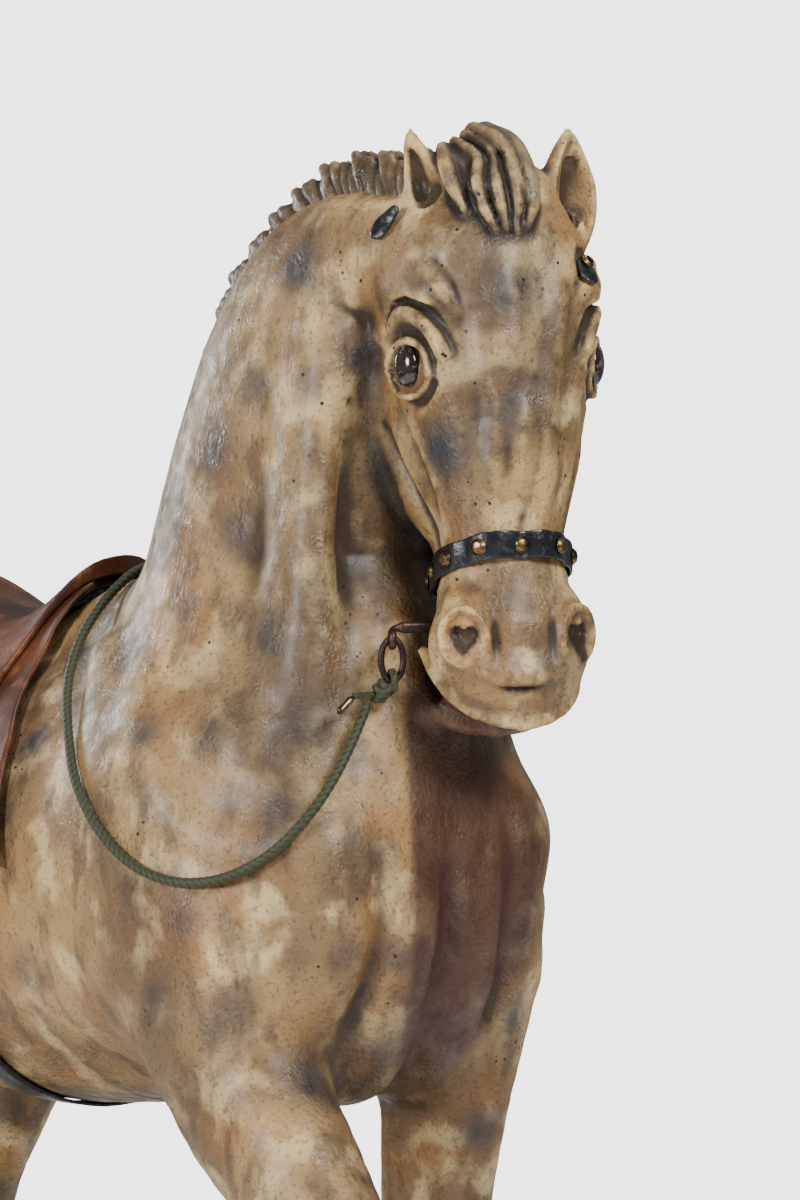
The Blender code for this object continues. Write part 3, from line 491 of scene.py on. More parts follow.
def mane():
    """A clipped mane: locks in stepped tufts of four along the crest, from the poll towards the withers."""
    rows = smoothed(NECK, 24)
    spots = []
    for here, beyond in zip(rows, rows[1:]):
        ahead = beyond[:3] - here[:3]
        outward = np.array([0, ahead[2], -ahead[1]]) / max(np.hypot(ahead[1], ahead[2]), 1e-9)
        spots.append((here[:3] + outward * here[3], outward, ahead / np.linalg.norm(ahead)))
    lengths = np.concatenate([[0], np.cumsum([np.linalg.norm(b[0] - a[0]) for a,
                                              b in zip(spots, spots[1:])])])
    core = [(tuple(spots[i][0] - 7 * spots[i][1]), 14, 12) for i in range(54, len(spots), 8)]
    strokes = [Stroke(core, 6, steps=1)]
    count = 56
    for i in range(count):
        share = i / (count - 1)
        at = int(np.searchsorted(lengths, lengths[-1] * (0.985 - 0.70 * share)))
        root, outward, ahead = spots[min(at, len(spots) - 1)]
        tall = (27 - 15 * share**1.2) * (0.70 + 0.13 * (i % 4) + 0.05 * math.sin(i * 2.3))
        for side in (-1, 1):
            across = np.array([side, 0, 0])
            foot = root - 4 * outward + (15 + math.sin(i * 1.7)) * across + 3 * ahead
            middle = root + 0.5 * tall * outward + 11 * across - 0.06 * tall * ahead
            top = root + 0.9 * tall * outward + 6 * across - 0.32 * tall * ahead
            tip = root + tall * outward + 2 * across - 0.62 * tall * ahead
            strokes.append(Stroke([(tuple(foot), 2.6, 2.6), (tuple(middle), 4.6, 4.2), (tuple(top), 4.4, 4.0),
                                   (tuple(tip), 2.2, 2.2)], 1.6, steps=2))
    return strokes


def standing_fore(x, y):
    return [
        Stroke([((x + 16, y - 5, 515), 66, 46), ((x + 6, y - 5, 440), 52, 40), ((x, y, 340), 38, 35),
                ((x, y, 262), 27, 27), ((x, y - 3, 228), 30, 29), ((x, y + 2, 195), 23, 22),
                ((x, y + 4, 130), 19, 18), ((x, y + 4, 92), 25, 24), ((x, y - 8, 60), 21, 22),
                ((x, y - 18, 38), 26, 27)], 30),
        Stroke([((x, y - 26, -6), 44, 40), ((x, y - 18, 34), 30, 29)], 5),
    ]


def raised_fore(x, y):
    return [
        Stroke([((x + 10, y + 26, 535), 76, 54), ((x + 6, y - 8, 458), 60, 48),
                ((x + 4, y - 66, 402), 49, 42),
                ((x + 4, y - 116, 356), 38, 33), ((x + 6, y - 150, 316), 33, 30),
                ((x + 6, y - 156, 288), 27, 26),
                ((x + 6, y - 138, 222), 20, 19), ((x + 6, y - 124, 180), 25, 24),
                ((x + 6, y - 96, 152), 21, 22),
                ((x + 6, y - 76, 140), 26, 26)], 30),
        Stroke([((x + 6, y - 66, 128), 30, 29), ((x + 6, y - 46, 92), 42, 38)], 5),
    ]


def hind(x, y, back):
    """A hind leg: stifle, gaskin, hock, cannon and hoof, its foot behind y by this much."""
    return [
        Stroke([((x + 8, y + 40, 560), 100, 62), ((x + 6, y + 12, 470), 84, 52),
                ((x + 2, y + 24, 390), 60, 42),
                ((x, y + 44 + back * 0.4, 322), 42, 31), ((x, y + 62 + back * 0.8, 262), 35, 26),
                ((x, y + 64 + back, 230), 27, 23), ((x, y + 56 + back, 160), 21, 19),
                ((x, y + 54 + back, 100), 26, 24), ((x, y + 42 + back, 62), 21, 22),
                ((x, y + 32 + back, 38), 26, 27)], 34),
        Stroke([((x, y + 22 + back, -6), 44, 40), ((x, y + 30 + back, 34), 30, 29)], 5),
    ]


SKULL = [((0, -28, 5), 36, 46), ((0, -22, 50), 56, 62), ((0, -20, 95), 64, 66), ((0, -15, 140), 58, 58),
         ((0, -8, 185), 46, 46), ((0, -3, 228), 38, 40), ((0, 3, 262), 38, 44), ((0, 8, 298), 36, 46)]
EYE = np.array([53.0, -13.0, 110.0])
EYE_BALL = 17
EYE_OUT = np.array([0.94, 0.342, 0.0])
EYE_ACROSS = np.array([-0.342, 0.94, 0.0])
DOWN = np.array([0.0, 0.0, 1.0])
FACE = [
    Stroke(SKULL, 16, frame=HEAD),
    Stroke([((0, -86, 112), 50, 54), ((0, -76, 155), 48, 52), ((0, -56, 195), 36, 44),
            ((0, -35, 232), 25, 37),
            ((0, -22, 268), 26, 38), ((0, -22, 300), 27, 42), ((0, -18, 320), 23, 38)], 12, frame=HEAD),
    Stroke([((44, -84, 92), 50, 24), ((44, -76, 132), 50, 24), ((34, -52, 180), 34, 18)], 20, frame=HEAD,
           paired=True),
    Stroke([((0, 14, 292), 38, 50), ((0, 18, 314), 30, 46)], 14, frame=HEAD),
    Stroke([((33, 22, 272), 17, 14), ((37, 18, 288), 20, 15)], 10, frame=HEAD, paired=True),
]


def outermost(start, direction):
    """The first point of the plain face that a line from outside meets."""
    reach = np.linspace(0, 130, 261)
    line = np.array(start, float) + reach[:, None] * np.array(direction, float)
    wood = np.full(len(line), 1e3)
    for stroke in FACE:
        wood = blend(wood, stroke.distance(line * np.where(line[:, :1] < 0, [-1, 1, 1], [1, 1, 1])), 12)
    inside = np.nonzero(wood < 0)[0]
    return line[inside[0] if len(inside) else -1]


def side_of_face(s, h):
    """The point of the face's side at this depth from the front and this height."""
    return outermost((130, s, h), (-1, 0, 0))


def front_of_face(x, h):
    return outermost((x, 110, h), (0, -1, 0))


THIN_END = 0.35  # a ridge's or a cut's radius at its ends, of its own


def bead(spots, radius, fillet, sunk, paired=True, cut=False, steps=3):
    """A rounded ridge, or a gouge cut, along spots on the face, thinner at its ends, sunk by this much."""
    made = []
    for i, spot in enumerate(spots):
        size = radius * (THIN_END if i in (0, len(spots) - 1) else 1)
        inward = np.array([0.7 * np.sign(spot[0]), 0.7, 0])
        made.append((tuple(np.array(spot) - (sunk + (radius - size) * (-1 if cut else 1)) * inward), size,
                     size))
    return Stroke(made, fillet, frame=HEAD, paired=paired, cut=cut, steps=steps)


def arc_over_eye(ahead, reach, rise, start, end, count):
    """Points of an arc over the eye, lying in the side of the face."""
    return [side_of_face(EYE[1] + ahead + reach * math.cos(turn), EYE[2] - rise * math.sin(turn))
            for turn in np.radians(np.linspace(start, end, count))]


def around_eye(out, wide, tall, start, end, count, size, lean=0.0):
    """Stations of a ring round the eye; the turn starts at the front corner and goes down."""
    made = []
    for turn in np.radians(np.linspace(start, end, count)):
        spot = (EYE + EYE_OUT * (out - 2.5 * max(math.cos(turn), 0)) + DOWN * tall * math.sin(turn)
                + EYE_ACROSS * (4 + wide * math.cos(turn) + lean * math.sin(turn)))
        made.append((tuple(spot), size, size))
    return made


def eyes():
    socket = Stroke([(tuple(EYE + EYE_OUT * 36 + EYE_ACROSS * 6 - DOWN * 6), 21, 21)], 20, frame=HEAD,
                    paired=True,
                    cut=True)
    ball = Stroke([(tuple(EYE), EYE_BALL, EYE_BALL), (tuple(EYE + EYE_ACROSS * 9 - EYE_OUT * 1.5), 14, 14)],
                  1.5,
                  frame=HEAD, paired=True)
    pad = bead(arc_over_eye(4, 43, 54, 168, 48, 8), 11, 10, 4, steps=1)
    brow = bead([side_of_face(*spot) for spot in [(-78, 62), (-62, 49), (-40, 43), (-16, 42), (4, 47),
                                                  (18, 58),
                                                  (27, 72)]], 6.5, 3.5, 0.2)
    over_brow = bead([side_of_face(*spot) for spot in [(-72, 50), (-58, 38), (-38, 32), (-14, 31), (8, 36),
                                                       (22, 47)]],
                     6, 5, -3.0, cut=True)
    fold = bead(arc_over_eye(6, 32, 37, 196, 4, 12), 6, 4, 0.5, steps=1)
    under_pad = bead(arc_over_eye(6, 38, 45, 186, 2, 12), 3.4, 3.5, -1.4, cut=True, steps=1)
    upper = Stroke(around_eye(13.8, 21, 18.5, 176, 368, 17, 3.0, -2), 1.2, frame=HEAD, paired=True, steps=1)
    lower = Stroke(around_eye(12.4, 20.5, 18.5, 4, 180, 15, 2.5, -2), 1.2, frame=HEAD, paired=True, steps=1)
    crease = Stroke(around_eye(15.0, 25.5, 24.5, 180, 356, 15, 3.0, -2), 1.6, frame=HEAD, paired=True,
                    cut=True, steps=1)
    bag = Stroke(around_eye(11.0, 26, 25, 20, 165, 13, 2.4, -2), 3, frame=HEAD, paired=True, cut=True,
                 steps=1)
    corner = bead([EYE + EYE_OUT * 6 + EYE_ACROSS * 27 + DOWN * 5, EYE + EYE_OUT * 1 + EYE_ACROSS * 35
                   + DOWN * 16,
                   EYE + EYE_OUT * -4 + EYE_ACROSS * 41 + DOWN * 28], 3.0, 4, 0)
    return [socket, pad, brow, over_brow, fold, under_pad, bag, ball, upper, lower, corner, crease]


NOSTRIL = front_of_face(40, 283)
NOSTRIL_OUT = np.array([0.6, 0.8, 0.0])
NOSTRIL_ACROSS = np.array([0.8, -0.6, 0.0])
HEART = [[(NOSTRIL - NOSTRIL_OUT * 2 + NOSTRIL_ACROSS * turn - DOWN * 2, 5.2),
          (NOSTRIL - NOSTRIL_OUT * 2 + DOWN * 7, 2.2)] for turn in (-4.8, 4.8)]
LIP_RIM = [(51, -14, 294), (48, 6, 311), (41, 22, 324), (30, 33, 333), (15, 39, 339), (0, 41, 341)]
MOUTH = [(54, -34, 280), (52, -23, 300), (46, -11, 318), (34, 1, 334), (17, 8, 345), (0, 11, 348)]
CHIN_RIM = [(50, -50, 288), (49, -44, 312), (41, -34, 332), (23, -23, 344), (0, -18, 347)]


def muzzle():
    ring = []
    for turn in np.linspace(0, 2 * math.pi, 19):
        inset = 2.0 - 1.2 * math.cos(turn)
        round_it = NOSTRIL_ACROSS * 15 * math.cos(turn) + DOWN * 18 * math.sin(turn)
        spot = NOSTRIL - NOSTRIL_OUT * inset + round_it
        ring.append((tuple(spot), 3.0, 3.0))
    dish = Stroke([(tuple(NOSTRIL + NOSTRIL_OUT * 23), 24, 24)], 3, frame=HEAD, paired=True, cut=True)
    lobes = [Stroke([(tuple(spot), size, size) for spot, size in lobe], 0.6, frame=HEAD, paired=True,
                    cut=True)
             for lobe in HEART]
    wing = bead([front_of_face(33, 260), front_of_face(26, 270), front_of_face(23, 286),
                 front_of_face(25, 300),
                 front_of_face(31, 310)], 6.0, 3, 0.0)
    groove = bead([front_of_face(19, 264), front_of_face(15, 284), front_of_face(20, 304)], 8, 10, -6.8,
                  cut=True)
    bay = Stroke([((0, 66, 286), 17, 22)], 9, frame=HEAD, cut=True)
    lip_band = bead([front_of_face(x, 309 - 0.004 * x * x) for x in (-36, -18, 0, 18, 36)], 5, 6, 1.5,
                    paired=False)
    slit = bead([front_of_face(x, 316.5) for x in (-20, -8, 4, 15)], 2.0, 1.5, 0, paired=False, cut=True)
    rim = Stroke([(spot, 3.6, 3.6) for spot in LIP_RIM], 3, frame=HEAD, paired=True)
    gap = Stroke([(spot, 8.6, 8.6) for spot in MOUTH], 1.2, frame=HEAD, paired=True, cut=True)
    chin = Stroke([(spot, 7.5, 7.5) for spot in CHIN_RIM], 4, frame=HEAD, paired=True)
    corner = bead([side_of_face(-34, 276), side_of_face(-42, 262), side_of_face(-44, 246)], 4, 4, -1.5,
                  cut=True)
    return [wing, bay, groove, lip_band, rim, chin, Stroke(ring, 1.2, frame=HEAD, paired=True, steps=1), dish,
            *lobes, slit, gap, corner]


def head():
    bridge = bead([front_of_face(*spot) for spot in [(38, 66), (32, 104), (23, 150), (17, 200), (16, 240)]],
                  8, 9, 4)
    ridge = bead([front_of_face(*spot) for spot in [(15, 44), (14, 78), (10, 110), (2, 134), (-2, 165),
                                                    (2, 205)]],
                 7.5, 8, 3.5, paired=False)
    middle = bead([front_of_face(*spot) for spot in [(6, 26), (7, 50), (7, 80), (2, 112), (-1, 140)]], 12, 12,
                  -11,
                  paired=False, cut=True)
    right = bead([front_of_face(*spot) for spot in [(-42, 46), (-38, 78), (-31, 112), (-25, 140),
                                                    (-20, 176)]], 11,
                 12, -9.5, paired=False, cut=True)
    left = bead([front_of_face(*spot) for spot in [(42, 52), (35, 96), (27, 136), (20, 172)]], 11, 12, -9.5,
                paired=False, cut=True)
    crest = bead([side_of_face(*spot) for spot in [(-44, 132), (-34, 150), (-24, 178), (-14, 206)]], 8, 9, 4)
    under_crest = bead([side_of_face(*spot) for spot in [(-58, 150), (-46, 170), (-34, 196), (-26, 226)]], 6,
                       8, -3,
                       cut=True)
    vein = bead([side_of_face(*spot) for spot in [(-12, 146), (-2, 168), (4, 192), (6, 222)]], 3.6, 5, 1.6)
    return (FACE + [bridge, ridge, middle, right, left, crest, under_crest, vein]
            + eyes() + muzzle() + ears() + forelock())


EARS = {
    -1: ([(35, -35, 32, 13, 14), (36, -35, 17, 15, 15), (38.6, -35, 6, 16, 18), (41, -34, -6, 15, 16.5),
          (45, -33, -17, 13, 13.5), (48.4, -32, -26, 9, 10.4), (52.8, -30, -35, 6, 7),
          (55.5, -29, -46, 1.5, 2)],
         [(46, -20, 15, 6, 8), (48, -18, 4, 10, 12), (49, -18, -8, 11, 12.5), (52, -19, -20, 9, 9.5),
          (54.5, -21, -31, 5, 5.5), (56, -23, -40, 1.8, 2)]),
    1: ([(48, -35, 36, 14, 16), (52, -35, 22, 16, 21), (54, -35, 8, 17, 23.5), (54, -34, -8, 16, 23),
         (53.5, -32, -26, 11, 15), (53.5, -30, -39, 6, 7.5), (52.8, -29, -47, 1.5, 2)],
        [(57, -22, 22, 5, 9), (58, -20, 8, 11, 16), (57, -19, -8, 12, 17), (56, -20, -24, 9, 12),
         (54.5, -22, -37, 4, 5)]),
}


def ear(side):
    """One pricked ear, a pointed shell hollowed out in front, with its lower lip."""
    turned = (0.86 * side, -0.51, 0)
    outside, inside = [[((side * x, s, h), depth, width) for x, s, h, depth, width in stations]
                       for stations in EARS[side]]
    shell = Stroke(outside, 6, frame=HEAD, side=turned)
    hollow = Stroke(inside, 1.2, frame=HEAD, cut=True, side=turned)
    deep = Stroke([((x, s - 8, h), depth * 0.6, width * 0.6) for (x, s, h), depth, width in inside[1:-1]], 2,
                  frame=HEAD, cut=True)
    out = 2 + 2 * side
    lip = bead([(side * (x + out), s, h) for x, s, h in ((57, -16, 12), (51, -8, 25), (38, -7, 29),
                                                         (26, -12, 16))],
               4.0, 3, 0, paired=False)
    return [shell, hollow, deep, lip]


def ears():
    return ear(-1) + ear(1)


LOCKS = [
    [(-34, -26, -34), (-38, -4, -22), (-36, 6, -8), (-31, 14, 6)],
    [(-26, -24, -38), (-19, 4, -28), (-23, 15, -13), (-22, 21, 1), (-13, 27, 20)],
    [(-18, -26, -42), (-11, 3, -30), (-12, 17, -15), (-10, 23, 1), (-6, 27, 19)],
    [(-12, -28, -45), (-3, 0, -36), (0, 14, -19), (2, 22, 0), (1, 27, 19)],
    [(-4, -28, -45), (6, -6, -36), (11, 10, -18), (12, 18, 0), (7, 24, 18)],
]
LOCK_SIZES = (5.2, 4.6, 5.0, 7.0, 7.5)


def forelock():
    root = Stroke([((-10, -40, -16), 24, 34), ((-11, -20, -20), 20, 28), ((-10, -4, -12), 15, 26),
                   ((-9, 6, 2), 12, 20)], 8, frame=HEAD)
    strokes = [root]
    for lock, size in zip(LOCKS, LOCK_SIZES):
        sizes = size * np.interp(np.linspace(0, 1, len(lock)), [0, 0.35, 0.75, 1], [0.9, 1.1, 0.95, 0.45])
        strokes.append(Stroke([(spot, size, size) for spot, size in zip(lock, sizes)], 1.4, frame=HEAD))
    for lock, beside in zip(LOCKS, LOCKS[1:]):
        spots = [tuple((np.array(a) + np.array(b)) / 2 + np.array([0, 3.2, -1.6])) for a,
                 b in zip(lock, beside)]
        strokes.append(Stroke([(spot, 2.4, 2.4) for spot in spots], 1.0, frame=HEAD, cut=True))
    return strokes


def tail():
    dock = [((0, 430, 676), 26, 26), ((0, 466, 650), 28, 30), ((0, 478, 560), 34, 38),
            ((0, 470, 420), 36, 40),
            ((0, 458, 300), 28, 30), ((0, 452, 214), 12, 14)]
    strokes = [Stroke(dock, 14)]
    for x in (-26, 0, 26):
        strokes.append(Stroke([((x * 0.5, 470, 650), 16, 12), ((x, 492, 560), 18, 13),
                               ((x * 1.1, 488, 430), 18, 13),
                               ((x * 0.8, 470, 310), 14, 11), ((x * 0.3, 456, 216), 8, 7)], 4))
    return strokes


def hoof_soles():
    """(middle, outward normal) of the flat underside of each hoof."""
    return [((72, -310, 0), (0, 0, -1)), ((80, 240, 0), (0, 0, -1)), ((-84, 325, 0), (0, 0, -1)),
            ((-102, -338, 96), (0, 0.5, -0.87))]


FIGURE = [
    (1, trunk() + neck() + standing_fore(72, -287) + raised_fore(-108, -290) + hind(80, 215, 0)
     + hind(-84, 240, 60)
     + muscles()),
    (14, head()),
    (12, tail()),
]
MANE = [(3, mane())]


def carved(points, groups):
    """Distance of each point from the carved surface, negative in the wood, in millimetres."""
    wood = np.full(len(points), 1e3)
    for fillet, strokes in groups:
        mass = np.full(len(points), 1e3)
        for stroke in strokes:
            mass = stroke.apply(points, mass)
        wood = blend(wood, mass, fillet)
    for middle, normal in hoof_soles():
        off = points - np.array(middle)
        beyond = off @ (np.array(normal) / np.linalg.norm(normal))
        near = np.linalg.norm(off, axis=1) < 75
        wood[near] = np.maximum(wood[near], beyond[near])
    return wood


def min_distance(points, line):
    """Distance of each point from a line through these places."""
    best = np.full(len(points), 1e3)
    for start, end in zip(np.array(line, float), np.array(line[1:], float)):
        along = end - start
        share = np.clip((points - start) @ along / (along @ along), 0, 1)
        best = np.minimum(best, np.linalg.norm(points - start - share[:, None] * along, axis=1))
    return best


HEAD_CENTRE = HEAD.world([0, -20, 130])
MAGNIFIED = 170.0  # how far from the head's centre the faces are finer


def swelling(power):
    """Distances from the head's centre before and after the space round the head is enlarged."""
    plain = np.linspace(0, 3000, 600)
    rate = 1 + (power - 1) / (1 + (plain / MAGNIFIED) ** 4)
    return plain, np.concatenate([[0], np.cumsum((rate[1:] + rate[:-1]) / 2 * np.diff(plain))])


def swell(points, power, back=False):
    plain, grown = swelling(power)
    if back:
        plain, grown = grown, plain
    off = points - HEAD_CENTRE
    far = np.linalg.norm(off, axis=1)
    return HEAD_CENTRE + off * (np.interp(far, plain, grown) / np.maximum(far, 1e-9))[:, None]


def coordinates(mesh):
    flat = np.empty(len(mesh.vertices) * 3)
    mesh.vertices.foreach_get("co", flat)
    return flat.reshape(-1, 3)


def place(mesh, points):
    mesh.vertices.foreach_set("co", np.asarray(points, np.float32).ravel())
    mesh.update()


def onto_surface(points, normals, groups, times):
    step = 0.4
    for _ in range(times):
        here = carved(points, groups)
        slope = np.maximum((carved(points + step * normals, groups) - here) / step, 0.4)
        points = points - np.clip(here / slope, -6, 6)[:, None] * normals
    return points


def normals_of(mesh, points):
    place(mesh, points)
    flat = np.empty(len(mesh.vertices) * 3)
    mesh.vertex_normals.foreach_get("vector", flat)
    return flat.reshape(-1, 3)


def skin(name, groups, voxels, power):
    """The strokes' surface as one closed mesh, in millimetres, with its finest faces on the head."""
    work = bmesh.new()
    for stroke in [stroke for _, strokes in groups for stroke in strokes if not stroke.cut]:
        for centre, radii in stroke.balls():
            matrix = Matrix.Translation(Vector(centre)) @ Matrix(radii.tolist()).to_4x4()
            bmesh.ops.create_icosphere(work, subdivisions=2, radius=1, matrix=matrix)
    mesh = bpy.data.meshes.new(name)
    work.to_mesh(mesh)
    work.free()
    made = bpy.data.objects.new(name, mesh)
    bpy.context.scene.collection.objects.link(made)
    place(mesh, swell(coordinates(mesh), power))
    for voxel in voxels:
        remesh = made.modifiers.new("even", "REMESH")
        remesh.mode = "VOXEL"
        remesh.voxel_size = voxel
        bpy.context.view_layer.update()
        shaped = bpy.data.meshes.new_from_object(made.evaluated_get(bpy.context.evaluated_depsgraph_get()))
        made.modifiers.clear()
        made.data = shaped
        points = swell(coordinates(shaped), power, back=True)
        points = onto_surface(points, normals_of(shaped, points), groups, 2)
        place(shaped, swell(points, power))
    place(made.data, swell(coordinates(made.data), power, back=True))
    made.data.shade_smooth()
    return made


def to_metres(points):
    """Design millimetres above the hoof soles into metres in the row's frame."""
    return np.asarray(points, float) * UNIT + np.array([0, 0, GROUND])


def edges_of(mesh):
    pairs = np.empty(len(mesh.edges) * 2, int)
    mesh.edges.foreach_get("vertices", pairs)
    return pairs.reshape(-1, 2)


def spread(values, pairs, rounds):
    """Values evened out with their neighbours along the edges."""
    count = np.maximum(np.bincount(pairs.ravel(), minlength=len(values)), 1)
    for _ in range(rounds):
        total = (np.bincount(pairs[:, 0], values[pairs[:, 1]], len(values))
                 + np.bincount(pairs[:, 1], values[pairs[:, 0]], len(values)))
        values = 0.4 * values + 0.6 * total / count
    return values


def roundness(points, normals, pairs):
    """How raised, positive, or hollow, negative, the surface is at each point, per millimetre."""
    off = points[pairs[:, 1]] - points[pairs[:, 0]]
    turned = ((normals[pairs[:, 1]] - normals[pairs[:, 0]]) * off).sum(1) / np.maximum((off**2).sum(1), 1e-6)
    total = np.bincount(pairs[:, 0], turned, len(points)) + np.bincount(pairs[:, 1], turned, len(points))
    return total / np.maximum(np.bincount(pairs.ravel(), minlength=len(points)), 1)


def record_on(mesh, name, values):
    """Keeps one number per vertex on the mesh, for its material to read."""
    mesh.attributes.new(name, "FLOAT", "POINT").data.foreach_set("value", np.asarray(values, np.float32))


def steps(values, low, high):
    share = np.clip((values - low) / (high - low), 0, 1)
    return share * share * (3 - 2 * share)


def grain(points, size, seed=0.0):
    """Smooth noise of this size in millimetres at each point, from -1 to 1."""
    return np.array([noise.noise(Vector(p) / size + Vector((seed, seed, seed))) for p in points])


POWER = 3.7  # how many times finer the head's faces are
VOXELS = ((17.0, 8.4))  # of the rough and of the fine skin, in millimetres
horse = skin("carved_horse", FIGURE, VOXELS, POWER)
points = coordinates(horse.data)
normals = normals_of(horse.data, points)

# The chisel leaves the wood a little uneven, and its edges have been knocked and rubbed.
uneven = 0.7 * grain(points, 46, 3.0) + 0.35 * grain(points, 17, 9.0)
points = points + normals * (uneven * (0.25 + 0.75 * steps(points[:, 2], 0, 120)))[:, None]
points[:, 2] = np.maximum(points[:, 2], 0.0)
normals = normals_of(horse.data, points)
pairs = edges_of(horse.data)
bent = roundness(points, normals, pairs)
hollow = spread(np.clip(-bent, 0, 0.25), pairs, 3)
raised = spread(np.clip(bent, 0, 0.25), pairs, 2)
local = HEAD.local(points)
on_head = steps(-np.linalg.norm(local - np.array([0, -20, 150]), axis=1), -230, -170)

# The painter's dapples: those that the photograph shows, then others all over the body at the same spacing.
DAPPLES = [
    (-37, -336, 940), (-54, -295, 999), (-66, -266, 921), (-64, -318, 923), (-74, -229, 880),
    (-75, -299, 846),
    (-77, -256, 820), (-95, -227, 771), (-90, -310, 757), (-103, -169, 737), (-142, -238, 692),
    (-125, -286, 690),
    (-122, -89, 671), (-87, -344, 698), (-112, -344, 647), (-153, -260, 646), (-61, -382, 615),
    (53, -382, 596),
    (-153, -295, 572), (7, -383, 567), (68, -379, 555), (-43, -384, 549), (-77, -375, 548), (-142, -104, 517),
    (-155, -267, 516), (-136, -327, 514), (84, -359, 495), (20, -366, 493), (-35, -361, 481),
    (-98, -362, 468),
    (70, -338, 412), (-78, -403, 400), (-6, -458, 987), (-5, -463, 910), (-34, -418, 883), (-18, -339, 864),
]
DAPPLE_SPACING = 64
DAPPLE_SIZE = 17
chance = np.random.RandomState(7)
facing = normals @ np.array(camera_back)
seen = (facing > 0.1) & (points[:, 2] > 330) & (points[:, 1] < -80)
spots = [np.array(spot, float) for spot in DAPPLES]
for i in chance.permutation(len(points))[:5000]:
    if seen[i] or on_head[i] > 0.2 or points[i, 2] < 130:
        continue
    if min(np.linalg.norm(np.array(spots) - points[i], axis=1)) > DAPPLE_SPACING:
        spots.append(points[i])
wander = grain(points, 15, 21.0)
dapple = np.zeros(len(points))
for spot in spots:
    size = DAPPLE_SIZE * (0.85 + 0.4 * chance.rand())
    strength = 0.65 + 0.35 * chance.rand()
    far = np.linalg.norm(points - spot, axis=1) * (1 + 0.16 * wander)
    dapple = np.maximum(dapple, strength * np.exp(-(far / size) ** 2.4))
record_on(horse.data, "dapple", dapple)
record_on(horse.data, "raised", np.clip(raised * 8 - 0.12, 0, 1))
record_on(horse.data, "head", on_head)
hair = np.full(len(points), 1e3)
for lock in LOCKS:
    hair = np.minimum(hair, min_distance(local, lock))
record_on(horse.data, "hair", np.maximum(steps(-hair, -13, -7), 0.8 * steps(points[:, 1], 440, 462)))

# The inside of the lips and the chin under them are painted dark red.
mirrored = np.abs(local) * [1, 0, 0] + local * [0, 1, 1]
rim_place = np.array(LIP_RIM)
behind = np.interp(local[:, 2], rim_place[:, 2], rim_place[:, 1]) - local[:, 1]
under_lip = (steps(behind, 4, 10) * steps(local[:, 2], 270, 288) * steps(local[:, 1], -88, -66)
             * steps(-mirrored[:, 0], -62, -54))
in_mouth = steps(-min_distance(mirrored, MOUTH), -12, -6)
record_on(horse.data, "mouth", np.maximum(in_mouth, 0.85 * under_lip))

# The balls of the eyes are brown round the enamel. Painted shade darkens the hollows of the carving:
# the creases and lids round the eyes, the nostrils and, more widely, the throat in the shade of the head.
broad = spread(bent, pairs, 40)
on_ball = np.zeros(len(points))
for side in (-1, 1):
    far = np.linalg.norm(local - (EYE + EYE_ACROSS * 4 - EYE_OUT * 1) * [side, 1, 1], axis=1)
    on_ball = np.maximum(on_ball, steps(-far, -22.5, -21) * (np.abs(local[:, 2] - EYE[2]) < 17))
record_on(horse.data, "eye", on_ball)
in_shade = 0.2 + 0.8 * steps(-points[:, 2], -900, -820)
dark = np.clip(hollow * 12 - broad * 20 * in_shade, 0, 1) * (1 - 0.75 * on_ball)
# The nostril pits and the lines of the lids get painted shade as well.
for lobe in HEART:
    dark = np.maximum(dark, steps(-min_distance(mirrored, [tuple(spot) for spot, _ in lobe]), -6.0, -4.2))
lid_edge = around_eye(12.0, 18.6, 16.0, 0, 360, 25, 1, -2)
lid_crease = around_eye(14.0, 26, 24.8, 170, 366, 17, 1, -2)
for line in (lid_edge, lid_crease):
    edge = min_distance(mirrored, [spot for spot, _, _ in line])
    dark = np.maximum(dark, 0.8 * steps(-edge, -3.0, -1.0))
record_on(horse.data, "hollow", dark)

# Darker patches of handling grime and painted shade: the head's shade on the throat and under the jaw,
# in the elbow, under the chest and belly and on the legs. Each has its middle, its size in millimetres and
# its strength.
SHADE_AND_GRIME = [
    ((-98, -322, 705), 62, 0.9), ((-84, -300, 760), 40, 0.6), ((-112, -344, 655), 50, 0.7),
    ((98, -322, 705), 60, 0.7), ((-40, -330, 800), 60, 0.6), ((-130, -190, 690), 34, 0.5),
    ((0, -350, 440), 60, 0.5), ((-90, -310, 420), 46, 0.35), ((80, -300, 300), 60, 0.4),
    ((-60, 230, 420), 70, 0.4), ((70, 230, 420), 70, 0.4), ((0, 20, 405), 120, 0.5),
    ((0, -120, 420), 90, 0.45),
]
shade_and_grime = np.zeros(len(points))
for spot, size, strength in SHADE_AND_GRIME:
    far = np.linalg.norm(points - np.array(spot), axis=1) * (1 + 0.25 * wander)
    shade_and_grime = np.maximum(shade_and_grime, strength * np.exp(-(far / size) ** 2))
shade_and_grime = np.maximum(shade_and_grime, 0.7 * steps(-points[:, 2], -60, -20))  # the hooves
record_on(horse.data, "shade_and_grime", shade_and_grime)
place(horse.data, to_metres(points))

# Painted wood: oil paint in creams, ochres and warm greys over a ground, dabbed with soft blue-grey dapples.
# Old varnish gives an uneven shine. Painted shade darkens the hollows, edges are rubbed, woodworm has left
# holes.
WORM_HOLE = 0.0013  # radius of a hole
HOLE_SPACING = 0.011
painted, tree = new_finish("varnished dapple paint on wood")
at = add(tree, "TexCoord").outputs["Object"]


def cloud(size, detail=3.0, offset=(0, 0, 0), stretch=(1, 1, 1)):
    """Noise whose patches are about this many metres across, on the piece's own coordinates."""
    moved = add(tree, "Mapping", {"Vector": at, "Location": offset, "Scale": stretch})
    made = add(tree, "TexNoise", {"Vector": moved.outputs["Vector"], "Scale": 0.5 / size, "Detail": detail})
    return made.outputs["Fac"]


def band(value, low, high):
    """0 below low and 1 above high, smoothly between."""
    made = add(tree, "MapRange", {"Value": value, "From Min": low, "From Max": high},
               interpolation_type="SMOOTHSTEP")
    return made.outputs["Result"]


